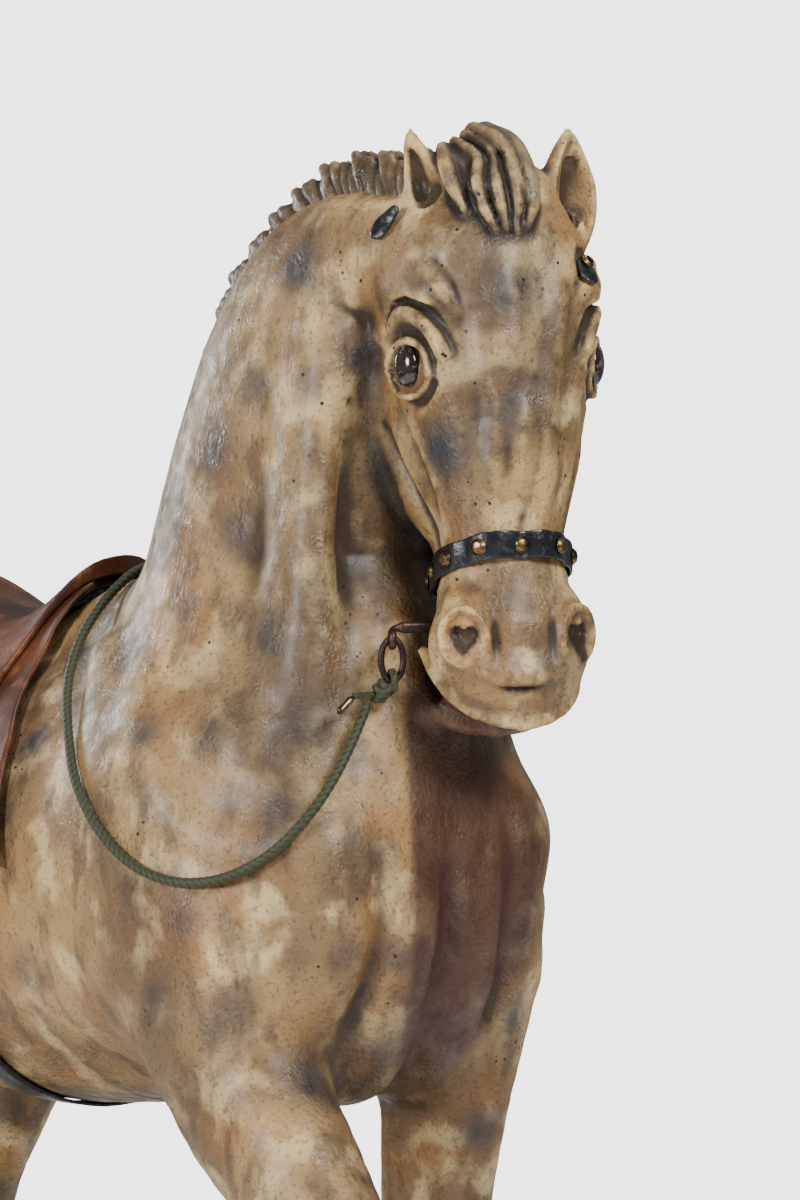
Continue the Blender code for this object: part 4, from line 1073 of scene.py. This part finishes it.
def mixed(share, first, second):
    """The first colour, with this share of the second."""
    return add(tree, "Mix", {0: share, 6: first, 7: second}, data_type="RGBA").outputs[2]


def sums(how, first, second):
    """Two values added, taken away, multiplied or compared."""
    return add(tree, "Math", {0: first, 1: second}, operation=how).outputs[0]


def kept(name):
    """A number that record_on left on the mesh."""
    return add(tree, "Attribute", attribute_name=name).outputs["Fac"]


base_tone = mixed(band(cloud(0.06), 0.4, 0.6), colour("A98756"), colour("6E5638"))
warm = mixed(sums("MULTIPLY", band(cloud(0.045, 5.0, (3, 1, 5)), 0.48, 0.66), 0.6), base_tone,
             colour("9A672F"))
pale = mixed(sums("MULTIPLY", band(cloud(0.02, 6.0, (7, 2, 1)), 0.5, 0.66), 0.75), warm, colour("DCC08A"))
brown = mixed(sums("MULTIPLY", band(cloud(0.011, 7.0, (1, 8, 3), (1, 1, 0.4)), 0.5, 0.66), 0.65), pale,
              colour("47331D"))
dark_mottle = mixed(sums("MULTIPLY", band(cloud(0.09, 4.0, (9, 3, 3)), 0.48, 0.62), 0.45), brown, colour("4C3923"))
spotted = mixed(sums("MULTIPLY", kept("dapple"), sums("ADD", 0.5, sums("MULTIPLY", cloud(0.005, 5.0), 0.75))),
                dark_mottle, colour("23262F"))
worn = mixed(sums("MULTIPLY", kept("raised"), band(cloud(0.006, 5.0, (5, 5, 0)), 0.35, 0.65)), spotted,
             colour("DDB877"))
combed = mixed(sums("MULTIPLY", kept("hair"), sums("SUBTRACT", 0.9, sums("MULTIPLY", kept("raised"), 0.6))),
               worn,
               colour("33261A"))
# Painted shade: the hollows that record_on marked are mixed towards near-black brown.
painted_hollow_shade = mixed(sums("MULTIPLY", band(kept("hollow"), 0.05, 0.7), 0.9), combed, colour("1E130A"))
specks = band(cloud(0.0016, 4.0, (2, 9, 4)), 0.54, 0.68)
speckled = mixed(sums("MULTIPLY", specks, 0.5), painted_hollow_shade, colour("35261A"))
# Painted shade and grime together darken the patches listed above, and the hooves.
uneven_shade_and_grime = sums("ADD", 0.45, sums("MULTIPLY", cloud(0.012, 6.0), 0.8))
grimed_and_shaded = mixed(sums("MULTIPLY", kept("shade_and_grime"), uneven_shade_and_grime), speckled, colour("35281B"))
ringed = mixed(kept("eye"), grimed_and_shaded, colour("6F5029"))
reddened = mixed(kept("mouth"), ringed, colour("38150D"))
cells = add(tree, "TexVoronoi", {"Vector": at, "Scale": 1 / HOLE_SPACING, "Randomness": 1.0},
            distance="EUCLIDEAN")
wormy = sums("ADD", cloud(0.03, 2.0, (4, 4, 9)), sums("MULTIPLY", kept("head"), 0.09))
hole_size = sums("MULTIPLY", band(wormy, 0.56, 0.66), WORM_HOLE / HOLE_SPACING)
hole = sums("LESS_THAN", cells.outputs["Distance"], hole_size)
holed = mixed(hole, reddened, colour("120C08"))
shine = add(tree, "MapRange", {"Value": cloud(0.006, 6.0, (6, 1, 2)), "From Min": 0.35, "From Max": 0.65,
                               "To Min": 0.3, "To Max": 0.75}).outputs["Result"]
dull = sums("ADD", shine, sums("MULTIPLY", kept("hollow"), 0.35))
pitted = add(tree, "Bump", {"Strength": 1.0, "Distance": 0.0012, "Height": cloud(0.0014, 4.0)})
brushed = add(tree, "Bump", {"Strength": 0.8, "Distance": 0.003,
                             "Height": cloud(0.008, 5.0, (3, 3, 3), (1, 1, 0.4)),
                             "Normal": pitted.outputs["Normal"]})
drilled = add(tree, "Bump", {"Strength": 1.0, "Distance": 0.002, "Height": sums("SUBTRACT", 1.0, hole),
                             "Normal": brushed.outputs["Normal"]})
shader = add(tree, "BsdfPrincipled", {
    "Base Color": holed,
    "Roughness": dull,
    "Coat Weight": 0.15,
    "Coat Roughness": 0.3,
    "Normal": drilled.outputs["Normal"],
})
surfaced(tree, shader)
horse.data.materials.append(painted)
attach(horse, "root")
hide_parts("horse")

# The mane is carved with the neck: rounded tufts leaning back along the crest, parted by gouge cuts.
# It is a piece of its own here, with finer faces, and has the horse's paint over a darker brown for hair.
mane_piece = skin("carved_mane", MANE, (5.0, 2.4), 1.0)
points = coordinates(mane_piece.data)
normals = normals_of(mane_piece.data, points)
pairs = edges_of(mane_piece.data)
bent = roundness(points, normals, pairs)
# The hollows between the tufts get painted shade, as on the horse.
record_on(mane_piece.data, "hollow", np.clip(spread(np.clip(-bent, 0, 0.4), pairs, 2) * 6, 0, 1))
record_on(mane_piece.data, "raised", np.clip(spread(np.clip(bent, 0, 0.4), pairs, 1) * 4, 0, 1))
for unused in ("dapple", "head", "mouth", "shade_and_grime", "eye"):
    record_on(mane_piece.data, unused, np.zeros(len(points)))
record_on(mane_piece.data, "hair", np.ones(len(points)))
place(mane_piece.data, to_metres(points))
mane_piece.data.materials.append(painted)
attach(mane_piece, "root")
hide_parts("horse")

# The eyes are low ovals of near-black enamel, painted on the carved balls under several coats of varnish.
# They shine more than the paint round them, and the enamel is clouded and scuffed.
enamel, tree = new_finish("black-brown enamel")
at = add(tree, "TexCoord").outputs["Object"]
clouded = mixed(band(cloud(0.004, 4.0), 0.4, 0.7), colour("120B0A"), colour("33241F"))
scuffed = mixed(sums("MULTIPLY", band(cloud(0.0016, 3.0, (4, 1, 1)), 0.56, 0.66), 0.5), clouded,
                colour("77747A"))
rough = add(tree, "Bump", {"Strength": 0.35, "Distance": 0.0006, "Height": cloud(0.003, 3.0)})
shader = add(tree, "BsdfPrincipled", {"Base Color": scuffed, "Roughness": 0.16, "Coat Weight": 0.6,
                                      "Coat Roughness": 0.06, "Normal": rough.outputs["Normal"]})
surfaced(tree, shader)
for side, name in ((-1, "right_eye"), (1, "left_eye")):
    bpy.ops.object.select_all(action="DESELECT")
    bpy.ops.mesh.primitive_uv_sphere_add(segments=48, ring_count=32, radius=1)
    iris = bpy.context.object
    iris.name = name
    ball = coordinates(iris.data)
    shaped = ball[:, :1] * 12.0 * EYE_ACROSS + ball[:, 1:2] * 7.0 * EYE_OUT + ball[:, 2:] * 14.5 * DOWN
    shaped = (shaped + EYE + EYE_OUT * 12.9 + EYE_ACROSS * 2.5 - DOWN * 2.5) * np.array([side, 1, 1])
    place(iris.data, to_metres(HEAD.world(shaped)))
    turned_outward(iris.data)
    iris.data.shade_smooth()
    iris.data.materials.append(enamel)
    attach(iris, "root")
    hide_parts("horse")

# The stand is a plain plank of stained pine under the hooves, its edges planed off.
# The hooves are pegged to it from below.
stained, tree = new_finish("dark stained pine")
at = add(tree, "TexCoord").outputs["Object"]
figure = cloud(0.006, 3.0, (0, 0, 0), (1, 0.06, 1))
shade = mixed(band(figure, 0.35, 0.65), colour("2C1E15"), colour("4C3524"))
scratched = mixed(sums("MULTIPLY", band(cloud(0.03, 5.0), 0.55, 0.7), 0.5), shade, colour("6A5440"))
fibres = cloud(0.0015, 3.0, (0, 0, 0), (1, 0.05, 1))
fibre = add(tree, "Bump", {"Strength": 0.4, "Distance": 0.0006, "Height": fibres})
shader = add(tree, "BsdfPrincipled", {"Base Color": scratched, "Roughness": 0.55,
                                      "Normal": fibre.outputs["Normal"]})
surfaced(tree, shader)
low, high = (np.array(corner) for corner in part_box("base"))
bpy.ops.object.select_all(action="DESELECT")
bpy.ops.mesh.primitive_cube_add(size=1)
plank = bpy.context.object
plank.name = "plank_base"
place(plank.data, coordinates(plank.data) * (high - low) + (high + low) / 2)
for wide, cuts in ((0.006, 3), (0.0008, 2)):
    edge = plank.modifiers.new("planed edge", "BEVEL")
    edge.width = wide
    edge.segments = cuts
    bpy.ops.object.modifier_apply(modifier=edge.name)
plank.data.shade_smooth()
bpy.ops.object.shade_smooth_by_angle(angle=math.radians(35))
plank.data.materials.append(stained)
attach(plank, "root")
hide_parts("base")

# The saddle is of brown harness leather over the barrel: a girth strap below, two flaps and a seat with a
# raised pommel and cantle. It follows the wood, whose distance from the barrel's axis is measured here.
BARREL_AXIS = 590  # height of the barrel's middle line, in design millimetres
cad_horse = frame["nodes"]["horse"]


def surface_of(made):
    """A tree of a piece's faces, for finding where a line meets it."""
    return BVHTree.FromPolygons([v.co for v in made.data.vertices],
                                [p.vertices[:] for p in made.data.polygons])


surfaces = [surface_of(cad_horse), surface_of(horse)]


def barrel_reach(angle, y):
    """How far the wood stands from the barrel's axis, at this angle from the top and this place along it."""
    best = 0
    for da in (-3, 0, 3):
        for dy in (-6, 0, 6):
            turn = math.radians(angle + da)
            out = Vector((math.sin(turn), 0, math.cos(turn)))
            start = Vector(to_metres([0, y + dy, BARREL_AXIS]))
            for surface in surfaces:
                hit, _, _, gone = surface.ray_cast(start + out * 0.4, -out)
                if hit is not None:
                    best = max(best, (0.4 - gone) / UNIT)
    return best


def on_barrel(angle, reach, y):
    """The place at this angle from the top and this distance from the barrel's axis, in metres."""
    turn = math.radians(angle)
    return to_metres([math.sin(turn) * reach, y, BARREL_AXIS + math.cos(turn) * reach])


def grid_piece(name, inner, outer, look, bevel, closed=False):
    """A leather piece between two grids of points, its edges rounded, its rows a closed ring for a hoop."""
    rows, columns = inner.shape[:2]
    places = np.concatenate([inner.reshape(-1, 3), outer.reshape(-1, 3)])
    half = rows * columns
    faces = []
    for i in range(rows if closed else rows - 1):
        near, far = i * columns, (i + 1) % rows * columns
        for j in range(columns - 1):
            a, b, c, d = near + j, near + j + 1, far + j + 1, far + j
            faces += [(a, b, c, d), (half + a, half + d, half + c, half + b)]
    if closed:
        for i in range(rows):
            near, far = i * columns, (i + 1) % rows * columns
            faces += [(near + j, far + j, half + far + j, half + near + j) for j in (0, columns - 1)]
    else:
        rim = ([(0, j) for j in range(columns - 1)] + [(i, columns - 1) for i in range(rows - 1)]
               + [(rows - 1, j) for j in range(columns - 1, 0, -1)]
               + [(i, 0) for i in range(rows - 1, 0, -1)])
        for here, beyond in zip(rim, rim[1:] + rim[:1]):
            a, b = here[0] * columns + here[1], beyond[0] * columns + beyond[1]
            faces.append((a, b, half + b, half + a))
    mesh = bpy.data.meshes.new(name)
    mesh.from_pydata([tuple(map(float, spot)) for spot in places], [], faces)
    made = finished(name, mesh, look)
    bpy.ops.object.select_all(action="DESELECT")
    made.select_set(True)
    bpy.context.view_layer.objects.active = made
    edge = made.modifiers.new("skived edge", "BEVEL")
    edge.width = bevel
    edge.segments = 2
    edge.limit_method = "ANGLE"
    edge.angle_limit = math.radians(50)
    bpy.ops.object.modifier_apply(modifier=edge.name)
    made.data.shade_smooth()
    bpy.ops.object.shade_smooth_by_angle(angle=math.radians(60))
    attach(made, "root")
    return made


# Brown harness leather: vegetable tanned, dark red-brown, polished by use, cracked and scuffed paler.
harness, tree = new_finish("old brown harness leather")
at = add(tree, "TexCoord").outputs["Object"]
tanned = mixed(band(cloud(0.03, 4.0), 0.35, 0.65), colour("3B1D10"), colour("6E3C1F"))
rubbed = mixed(sums("MULTIPLY", band(cloud(0.012, 5.0, (4, 2, 2)), 0.52, 0.7), 0.7), tanned, colour("9A6238"))
crease = add(tree, "TexVoronoi", {"Vector": at, "Scale": 1 / 0.007, "Randomness": 1.0},
             feature="DISTANCE_TO_EDGE")
cracked = mixed(sums("MULTIPLY", sums("LESS_THAN", crease.outputs["Distance"], 0.035), 0.5), rubbed,
                colour("1A0D08"))
pores = add(tree, "Bump", {"Strength": 0.4, "Distance": 0.0006, "Height": cloud(0.0012, 3.0)})
folds = add(tree, "Bump", {"Strength": 0.5, "Distance": 0.0025, "Height": cloud(0.02, 3.0, (1, 1, 6)),
                           "Normal": pores.outputs["Normal"]})
shader = add(tree, "BsdfPrincipled", {"Base Color": cracked, "Roughness": 0.36, "Coat Weight": 0.2,
                                      "Coat Roughness": 0.25, "Normal": folds.outputs["Normal"]})
surfaced(tree, shader)

# Black strap leather: the same hide dyed black, greyed where it bends and dusty in its pores.
strap, tree = new_finish("worn black strap leather")
at = add(tree, "TexCoord").outputs["Object"]
dyed = mixed(band(cloud(0.01, 4.0), 0.4, 0.7), colour("0D0D10"), colour("24262C"))
dusty = mixed(sums("MULTIPLY", band(cloud(0.003, 5.0, (4, 2, 2)), 0.55, 0.72), 0.5), dyed, colour("565A66"))
pores = add(tree, "Bump", {"Strength": 0.5, "Distance": 0.0006, "Height": cloud(0.0014, 4.0)})
folds = add(tree, "Bump", {"Strength": 0.6, "Distance": 0.002, "Height": cloud(0.008, 3.0, (1, 1, 6)),
                           "Normal": pores.outputs["Normal"]})
shader = add(tree, "BsdfPrincipled", {"Base Color": dusty, "Roughness": 0.34,
                                      "Normal": folds.outputs["Normal"]})
surfaced(tree, shader)

# The girth is one strap round the barrel, over the wood and under the flaps.
# It is black strap leather, 30 mm wide and a little over 2 mm thick.
GIRTH_Y = -10  # its middle, along the horse
GIRTH_WIDTH = 30
girth_angles = range(0, 360, 4)
girth_ys = GIRTH_Y + GIRTH_WIDTH * np.array([-0.5, -0.3, -0.1, 0.1, 0.3, 0.5])
reach = np.array([[barrel_reach(angle, y) for y in girth_ys] for angle in girth_angles])
inner, outer = (
    np.array([[on_barrel(a, r + lift, y) for r, y in zip(row, girth_ys)] for a,
              row in zip(girth_angles, reach)])
    for lift in (0.6, 2.9)
)
girth = grid_piece("girth_strap", inner, outer, strap, 0.0006, closed=True)
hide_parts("girth")


def saddle_front(angle):
    """Where the saddle's front edge lies, at this angle from the top."""
    return float(np.interp(abs(angle), [0, 10, 21, 36, 57, 92], [-36, -34, -30, -37, -70, -99]))


def leather(name, angles, front, back, gap, thick, node, columns=26):
    """A piece of the saddle, spread over the barrel."""
    inner, outer = [], []
    for angle in angles:
        ys = np.linspace(front(angle), back(angle), columns)
        reaches = [barrel_reach(angle, y) for y in ys]
        wave = [0.8 * noise.noise(Vector((angle * 0.06, y * 0.02, 3.0))) for y in ys]
        inner.append([on_barrel(angle, r + gap + w, y) for r, y, w in zip(reaches, ys, wave)])
        outer.append([on_barrel(angle, r + gap + w + thick(angle, y), y) for r, y,
                      w in zip(reaches, ys, wave)])
    made = grid_piece(name, np.array(inner), np.array(outer), harness, 0.0009)
    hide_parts(node)
    return made


for side, name in ((-1, "right"), (1, "left")):
    leather(name + "_flap", [side * a for a in np.arange(9, 91, 3)], saddle_front,
            lambda angle: 60 - 0.35 * abs(angle), 4.6, lambda angle, y: 3.2, name + "_saddle_flap")


def seat_thickness(angle, y):
    """The seat is padded thicker at the pommel and the cantle."""
    pommel = 9 * math.exp(-((y + 24) / 20) ** 2 - (angle / 15) ** 2)
    cantle = 12 * math.exp(-((y - 190) / 22) ** 2 - (angle / 30) ** 2)
    return 4.5 + pommel + cantle


leather("leather_seat", np.arange(-45, 46, 2.25), lambda angle: saddle_front(angle) + 4 + 0.7 * abs(angle),
        lambda angle: 196 - 0.9 * abs(angle), 8.6, seat_thickness, "saddle_seat", 34)

# The noseband is a strap of black leather, 18 mm wide, nailed round the nose with round brass studs.
# It lies tilted, lower at the sides, follows the carved nose and has slightly ragged edges.
BAND_HALF = 9.0


def nose_point(turn, gap):
    """A point round the nose in the noseband's tilted plane and its outward direction."""
    middle = HEAD.world([0, -12, 243])
    out = np.array([math.sin(turn), math.cos(turn), -0.38 * math.cos(turn)])
    out /= np.linalg.norm(out)
    far = out @ HEAD.axes
    start = Vector(to_metres(middle))
    best = 0
    for swing in (-0.09, -0.045, 0, 0.045, 0.09):
        aside = Vector(far) + swing * Vector(HEAD.axes.T @ np.array([math.cos(turn), -math.sin(turn), 0]))
        for lift in (-BAND_HALF, -BAND_HALF / 2, 0, BAND_HALF / 2, BAND_HALF):
            for surface in surfaces:
                _, _, _, gone = surface.ray_cast(start - Vector(HEAD.axes[2]) * lift * UNIT,
                                                 aside.normalized(), 0.1)
                best = max(best, (gone or 0) / UNIT)
    return to_metres(middle + far * (best + gap)), far


# Old brass: dulled brown, brighter on top where it has been handled.
brass, tree = new_finish("dulled brass")
at = add(tree, "TexCoord").outputs["Object"]
tarnish = mixed(band(cloud(0.004, 4.0), 0.4, 0.65), colour("8A7350"), colour("453526"))
dents = add(tree, "Bump", {"Strength": 0.5, "Distance": 0.0005, "Height": cloud(0.0022, 3.0)})
shader = add(tree, "BsdfPrincipled", {"Base Color": tarnish, "Metallic": 1.0, "Roughness": 0.34,
                                      "Normal": dents.outputs["Normal"]})
surfaced(tree, shader)

nose_turns = np.linspace(0, 2 * math.pi, 109)[:-1]
axis = -HEAD.axes[2] * UNIT
edge_shares = np.array([-1, -0.8, -0.4, 0, 0.4, 0.8, 1])
under = [nose_point(t, 0.0)[0] for t in nose_turns]
outs = [nose_point(t, 0.0)[1] for t in nose_turns]
ragged = [1 + 0.05 * noise.noise(Vector((t * 6, 2.0, 0))) for t in nose_turns]
inner = np.array([[u + o * 1.0 * UNIT + axis * BAND_HALF * s * r for s in edge_shares]
                  for u, o, r in zip(under, outs, ragged)])
outer = np.array([[u + o * (3.3 - 0.5 * s**4) * UNIT + axis * BAND_HALF * s * r for s in edge_shares]
                  for u, o, r in zip(under, outs, ragged)])
noseband = grid_piece("studded_noseband", inner, outer, strap, 0.0005, closed=True)
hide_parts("noseband")


def stud(name, foot, facing, radius, height, node):
    """A round nail head with a flat rim, stamped from sheet and a little dented."""
    bpy.ops.object.select_all(action="DESELECT")
    bpy.ops.mesh.primitive_uv_sphere_add(segments=32, ring_count=24, radius=1)
    made = bpy.context.object
    made.name = name
    ball = coordinates(made.data)
    rise = np.maximum(ball[:, 2], 0)
    width = np.hypot(ball[:, 0], ball[:, 1])
    flare = np.where(ball[:, 2] < 0.15, 1.0, 0.86)
    turn = np.array(Vector(facing).to_track_quat("Z", "Y").to_matrix())
    dent = np.array([noise.noise(Vector(p) * 1.6 + Vector(foot) * 300) for p in ball])
    flat = np.stack([ball[:, 0] * radius * flare, ball[:, 1] * radius * flare,
                     height * (rise ** 0.8) * (1 + 0.10 * dent) + 0.05 * height * (width > 0.5)], 1)
    place(made.data, flat @ turn.T + np.array(foot))
    made.data.shade_smooth()
    made.data.materials.append(brass)
    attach(made, "root")
    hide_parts(node)
    return made


NOSE_STUD = (5.6 * UNIT, 3.2 * UNIT)  # radius and height
stud_turns = np.linspace(0, 2 * math.pi, 37)[:-1]
for i in range(12):
    foot, out = nose_point(stud_turns[i * 3], 3.3)
    before, after = (nose_point(stud_turns[(i * 3 + step) % 36], 3.3)[0] for step in (-1, 1))
    facing = np.cross(after - before, HEAD.axes[2])
    facing *= np.sign(facing @ out) / np.linalg.norm(facing)
    number = str(i + 1)
    stud("nose_stud_" + number, foot + facing * 0.1 * UNIT, facing, *NOSE_STUD, "noseband_stud_" + number)


# The browband is gone but for two leaves of black leather, where it was nailed to the head.
# They curl at the lower end, and a brass stud still holds the left one.


def leaf(name, x, s, h, length, width, lean, node):
    """A scrap of leather lying on the side of the head, and where it lies."""
    hit, normal, _, _ = surfaces[0].find_nearest(Vector(to_metres(HEAD.world([x, s, h]))))
    normal = np.array(normal)
    down = HEAD.axes[2] + lean * HEAD.axes[1]
    down = down - (down @ normal) * normal
    down /= np.linalg.norm(down)
    across = np.cross(down, normal)
    inner, outer = [], []
    for t in np.linspace(-1, 1, 21):
        half = width / 2 * (1 - abs(t) ** 2.6) ** 0.5 * (1 + 0.18 * math.sin(2.6 * t)) + 0.4
        curl = 1.6 * max(t - 0.45, 0) ** 2
        row_in, row_out = [], []
        for w in np.linspace(-1, 1, 9):
            spot = np.array(hit) + (down * t * length / 2 + across * w * half) * UNIT
            lift = 0
            for surface in surfaces:
                near, _, _, _ = surface.ray_cast(Vector(spot + normal * 0.03), Vector(-normal))
                lift = max(lift, 0 if near is None else (np.array(near) - spot) @ normal)
            row_in.append(spot + normal * (lift + (0.9 + curl) * UNIT))
            row_out.append(spot + normal * (lift + (3.4 + curl - 1.1 * w * w
                                                    + 0.3 * math.sin(5 * t + w)) * UNIT))
        inner.append(row_in)
        outer.append(row_out)
    made = grid_piece(name, np.array(inner), np.array(outer), strap, 0.0004)
    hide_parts(node)
    return np.array(hit), normal, down


leaf("right_leather_leaf", -72, -28, 15, 27, 11, -0.7, "right_browband_scrap")
hit, normal, down = leaf("left_leather_leaf", 50, 16, 47, 24, 13, 0.7, "left_browband_scrap")
stud("leaf_stud", hit + normal * 4.6 * UNIT - down * 5 * UNIT, normal, 5.0 * UNIT, 3.2 * UNIT,
     "browband_stud")

# The bit is a bar of forged iron through the mouth, its ends turned into eyes; a link hangs in the right one.
# Forge scale leaves it dark red-brown, a little rough, with a dull metal shine on the edges.
forged_iron, tree = new_finish("forged iron with old scale")
at = add(tree, "TexCoord").outputs["Object"]
rusty = mixed(band(cloud(0.005, 5.0), 0.42, 0.66), colour("2A1F1E"), colour("54362B"))
scaly = add(tree, "Bump", {"Strength": 0.7, "Distance": 0.0006, "Height": cloud(0.0016, 5.0)})
hammered = add(tree, "Bump", {"Strength": 0.6, "Distance": 0.0014, "Height": cloud(0.006, 2.0, (2, 5, 5)),
                              "Normal": scaly.outputs["Normal"]})
shader = add(tree, "BsdfPrincipled", {"Base Color": rusty, "Metallic": 0.55, "Roughness": 0.44,
                                      "Normal": hammered.outputs["Normal"]})
surfaced(tree, shader)
BIT_PLACE = (-14, 280)  # forward and down in the head's axes
RING_SIDE = 72
EYE_TOP = BIT_PLACE[1] + 7
LINK = EYE_TOP + 14


def rod(name, spots, radius, look, sides=20, closed=False, square=0.0):
    """A bar along spots in the head's axes, round or squared, a little uneven from the hammer."""
    line = along_line([to_metres(HEAD.world(spot)) for spot in spots], 0.0012)
    if closed:
        line = line[:-1]
    count = len(line)
    ahead = headings(line, closed)
    across = np.array(HEAD.axes[1])
    rings = []
    for i, (spot, direction) in enumerate(zip(line, ahead)):
        across = across - (across @ direction) * direction
        across /= np.linalg.norm(across)
        up = np.cross(direction, across)
        end = 0 if closed else max(0, 1 - min(i, count - 1 - i) / 3)
        for turn in np.arange(sides) * 2 * math.pi / sides:
            reach = radius * (1 + square * abs(math.sin(2 * turn)) ** 1.5) * math.sqrt(1 - 0.75 * end * end)
            reach *= 1 + 0.05 * noise.noise(Vector(spot) * 160 + Vector((turn, 0, 0)))
            rings.append(spot + reach * (math.cos(turn) * across + math.sin(turn) * up) * UNIT)
    faces = tube_faces(count, sides, closed)
    if not closed:
        faces += [tuple(range(sides)), tuple(range((count - 1) * sides, count * sides))]
    mesh = bpy.data.meshes.new(name)
    mesh.from_pydata([tuple(map(float, spot)) for spot in rings], [], faces)
    return finished(name, mesh, look)


def as_one(name, parts):
    """Parts of one piece joined into one mesh."""
    bpy.ops.object.select_all(action="DESELECT")
    for part in parts:
        part.select_set(True)
    bpy.context.view_layer.objects.active = parts[0]
    bpy.ops.object.join()
    parts[0].name = name
    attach(parts[0], "root")
    return parts[0]


def circle(middle, first, second, count=24):
    """Spots on a circle from its middle and two half axes."""
    return [np.array(middle) + math.cos(t) * np.array(first) + math.sin(t) * np.array(second)
            for t in np.linspace(0, 2 * math.pi, count + 1)]


depth, height = BIT_PLACE
bars = [rod("bar", [(-68, depth, height), (-30, depth, height), (30, depth, height), (50, depth, height)],
            3.6,
            forged_iron, square=0.22)]
for side, reach in ((-1, RING_SIDE), (1, RING_SIDE - 18)):
    hook = [(side * (reach - 8), depth, height), (side * (reach - 3), depth, height + 0.3)] + [
        (side * (reach + 0.8 * math.sin(t)), depth + 5.2 * math.sin(t), EYE_TOP - 5.4 * math.cos(t))
        for t in np.linspace(0.3, 5.9, 16)]
    bars.append(rod("eye", hook, 2.5, forged_iron))
bit = as_one("forged_bit", bars)
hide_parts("bit")
link = as_one("iron_link", [rod("link", circle((-RING_SIDE, depth, LINK), (7.6, 0, 0), (0, 0, 14)), 2.15,
                                forged_iron,
                                closed=True)])
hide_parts("bit_ring")

# The cord is tied through the link with two turns and a tucked end, which is crimped into a brass aglet.
# Knot and aglet lie in the head's axes, where the part's source has them.
KNOT = np.array([-83.0, -20.0, 327.0])
CORD_TAIL = np.array([-99.0, -11.0, 324.0])
start = np.array([-RING_SIDE, depth, LINK + 14.0])
along = (KNOT - start) / np.linalg.norm(KNOT - start)
plane = np.array([0.0, along[1], along[2]]) / math.hypot(along[1], along[2])
other = np.cross([1.0, 0, 0], plane)
first = np.cross(along, plane) / np.linalg.norm(np.cross(along, plane))
second = np.cross(along, first)


def tied(name, spots, radius, closed=False):
    return laid_cord(name, [to_metres(HEAD.world(spot)) for spot in spots], radius * UNIT, rayon, 18, 0.0013,
                     closed)


turns = [start + along * (4.5 + 9.5 * t / 13) + 4.4 * (math.cos(t) * first + math.sin(t) * second)
         for t in np.linspace(0, 13, 44)]
crossing = [
    start + along * 1.0 + first * 4.0,
    start + along * 8 + first * 7.2 + second * 2,
    KNOT + first * 3.0 - along * 1,
]
knot = as_one("cord_knot", [
    tied("turns", turns, 2.9),
    tied("core", [start + along * 4, start + along * 10, KNOT + along * 1.5], 3.6),
    tied("bight", circle(start, 6.0 * plane, 6.0 * other), 2.6, closed=True),
    tied("cross", crossing, 2.6),
    tied("tail", [KNOT - along * 4, (KNOT + CORD_TAIL) / 2 + np.array([0, 1.0, -1.5]), CORD_TAIL], 2.4),
])
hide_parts("rein_knot")

out = (CORD_TAIL - KNOT) / np.linalg.norm(CORD_TAIL - KNOT) * 0.5 + np.array([-0.35, 0, 0.8])
out /= np.linalg.norm(out)
crimp = [CORD_TAIL + run * out for run in (1.2, 5, 16)]
aglet = as_one("brass_aglet", [rod("crimp", crimp, 2.5, brass)])
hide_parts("aglet")

# The rein's other end is knotted and held by an iron nail beside the pommel, where the part's source has it.
REIN_END = np.array([0.058467, -0.070044, 0.809703])
REIN_END_FACING = np.array([0.459505, 0.336487, 0.821968])
sideways = np.cross(REIN_END_FACING, (0.874, -0.006, -0.486))
sideways /= np.linalg.norm(sideways)
forward = np.cross(sideways, REIN_END_FACING)
KNOT_TURN = 3.4  # radius of each of its three turns
loops = []
for a, b in ((sideways, forward), (REIN_END_FACING, forward), (sideways, REIN_END_FACING)):
    round_end = [REIN_END + KNOT_TURN * (math.cos(t) * a + math.sin(t) * b) * UNIT
                 for t in np.linspace(0, 2 * math.pi, 17)]
    loops.append(laid_cord("turn", round_end, 2.9 * UNIT, rayon, 18, 0.0013, True))
end_knot = as_one("cord_end_knot", loops)
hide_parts("rein_end_knot")
NAIL = (4.0 * UNIT, 2.2 * UNIT)  # radius and height of its head
nail_foot = REIN_END + REIN_END_FACING * 6.6 * UNIT
nail = stud("rein_nail_head", nail_foot, REIN_END_FACING, *NAIL, "rein_nail")
nail.data.materials[0] = forged_iron

low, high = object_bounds()
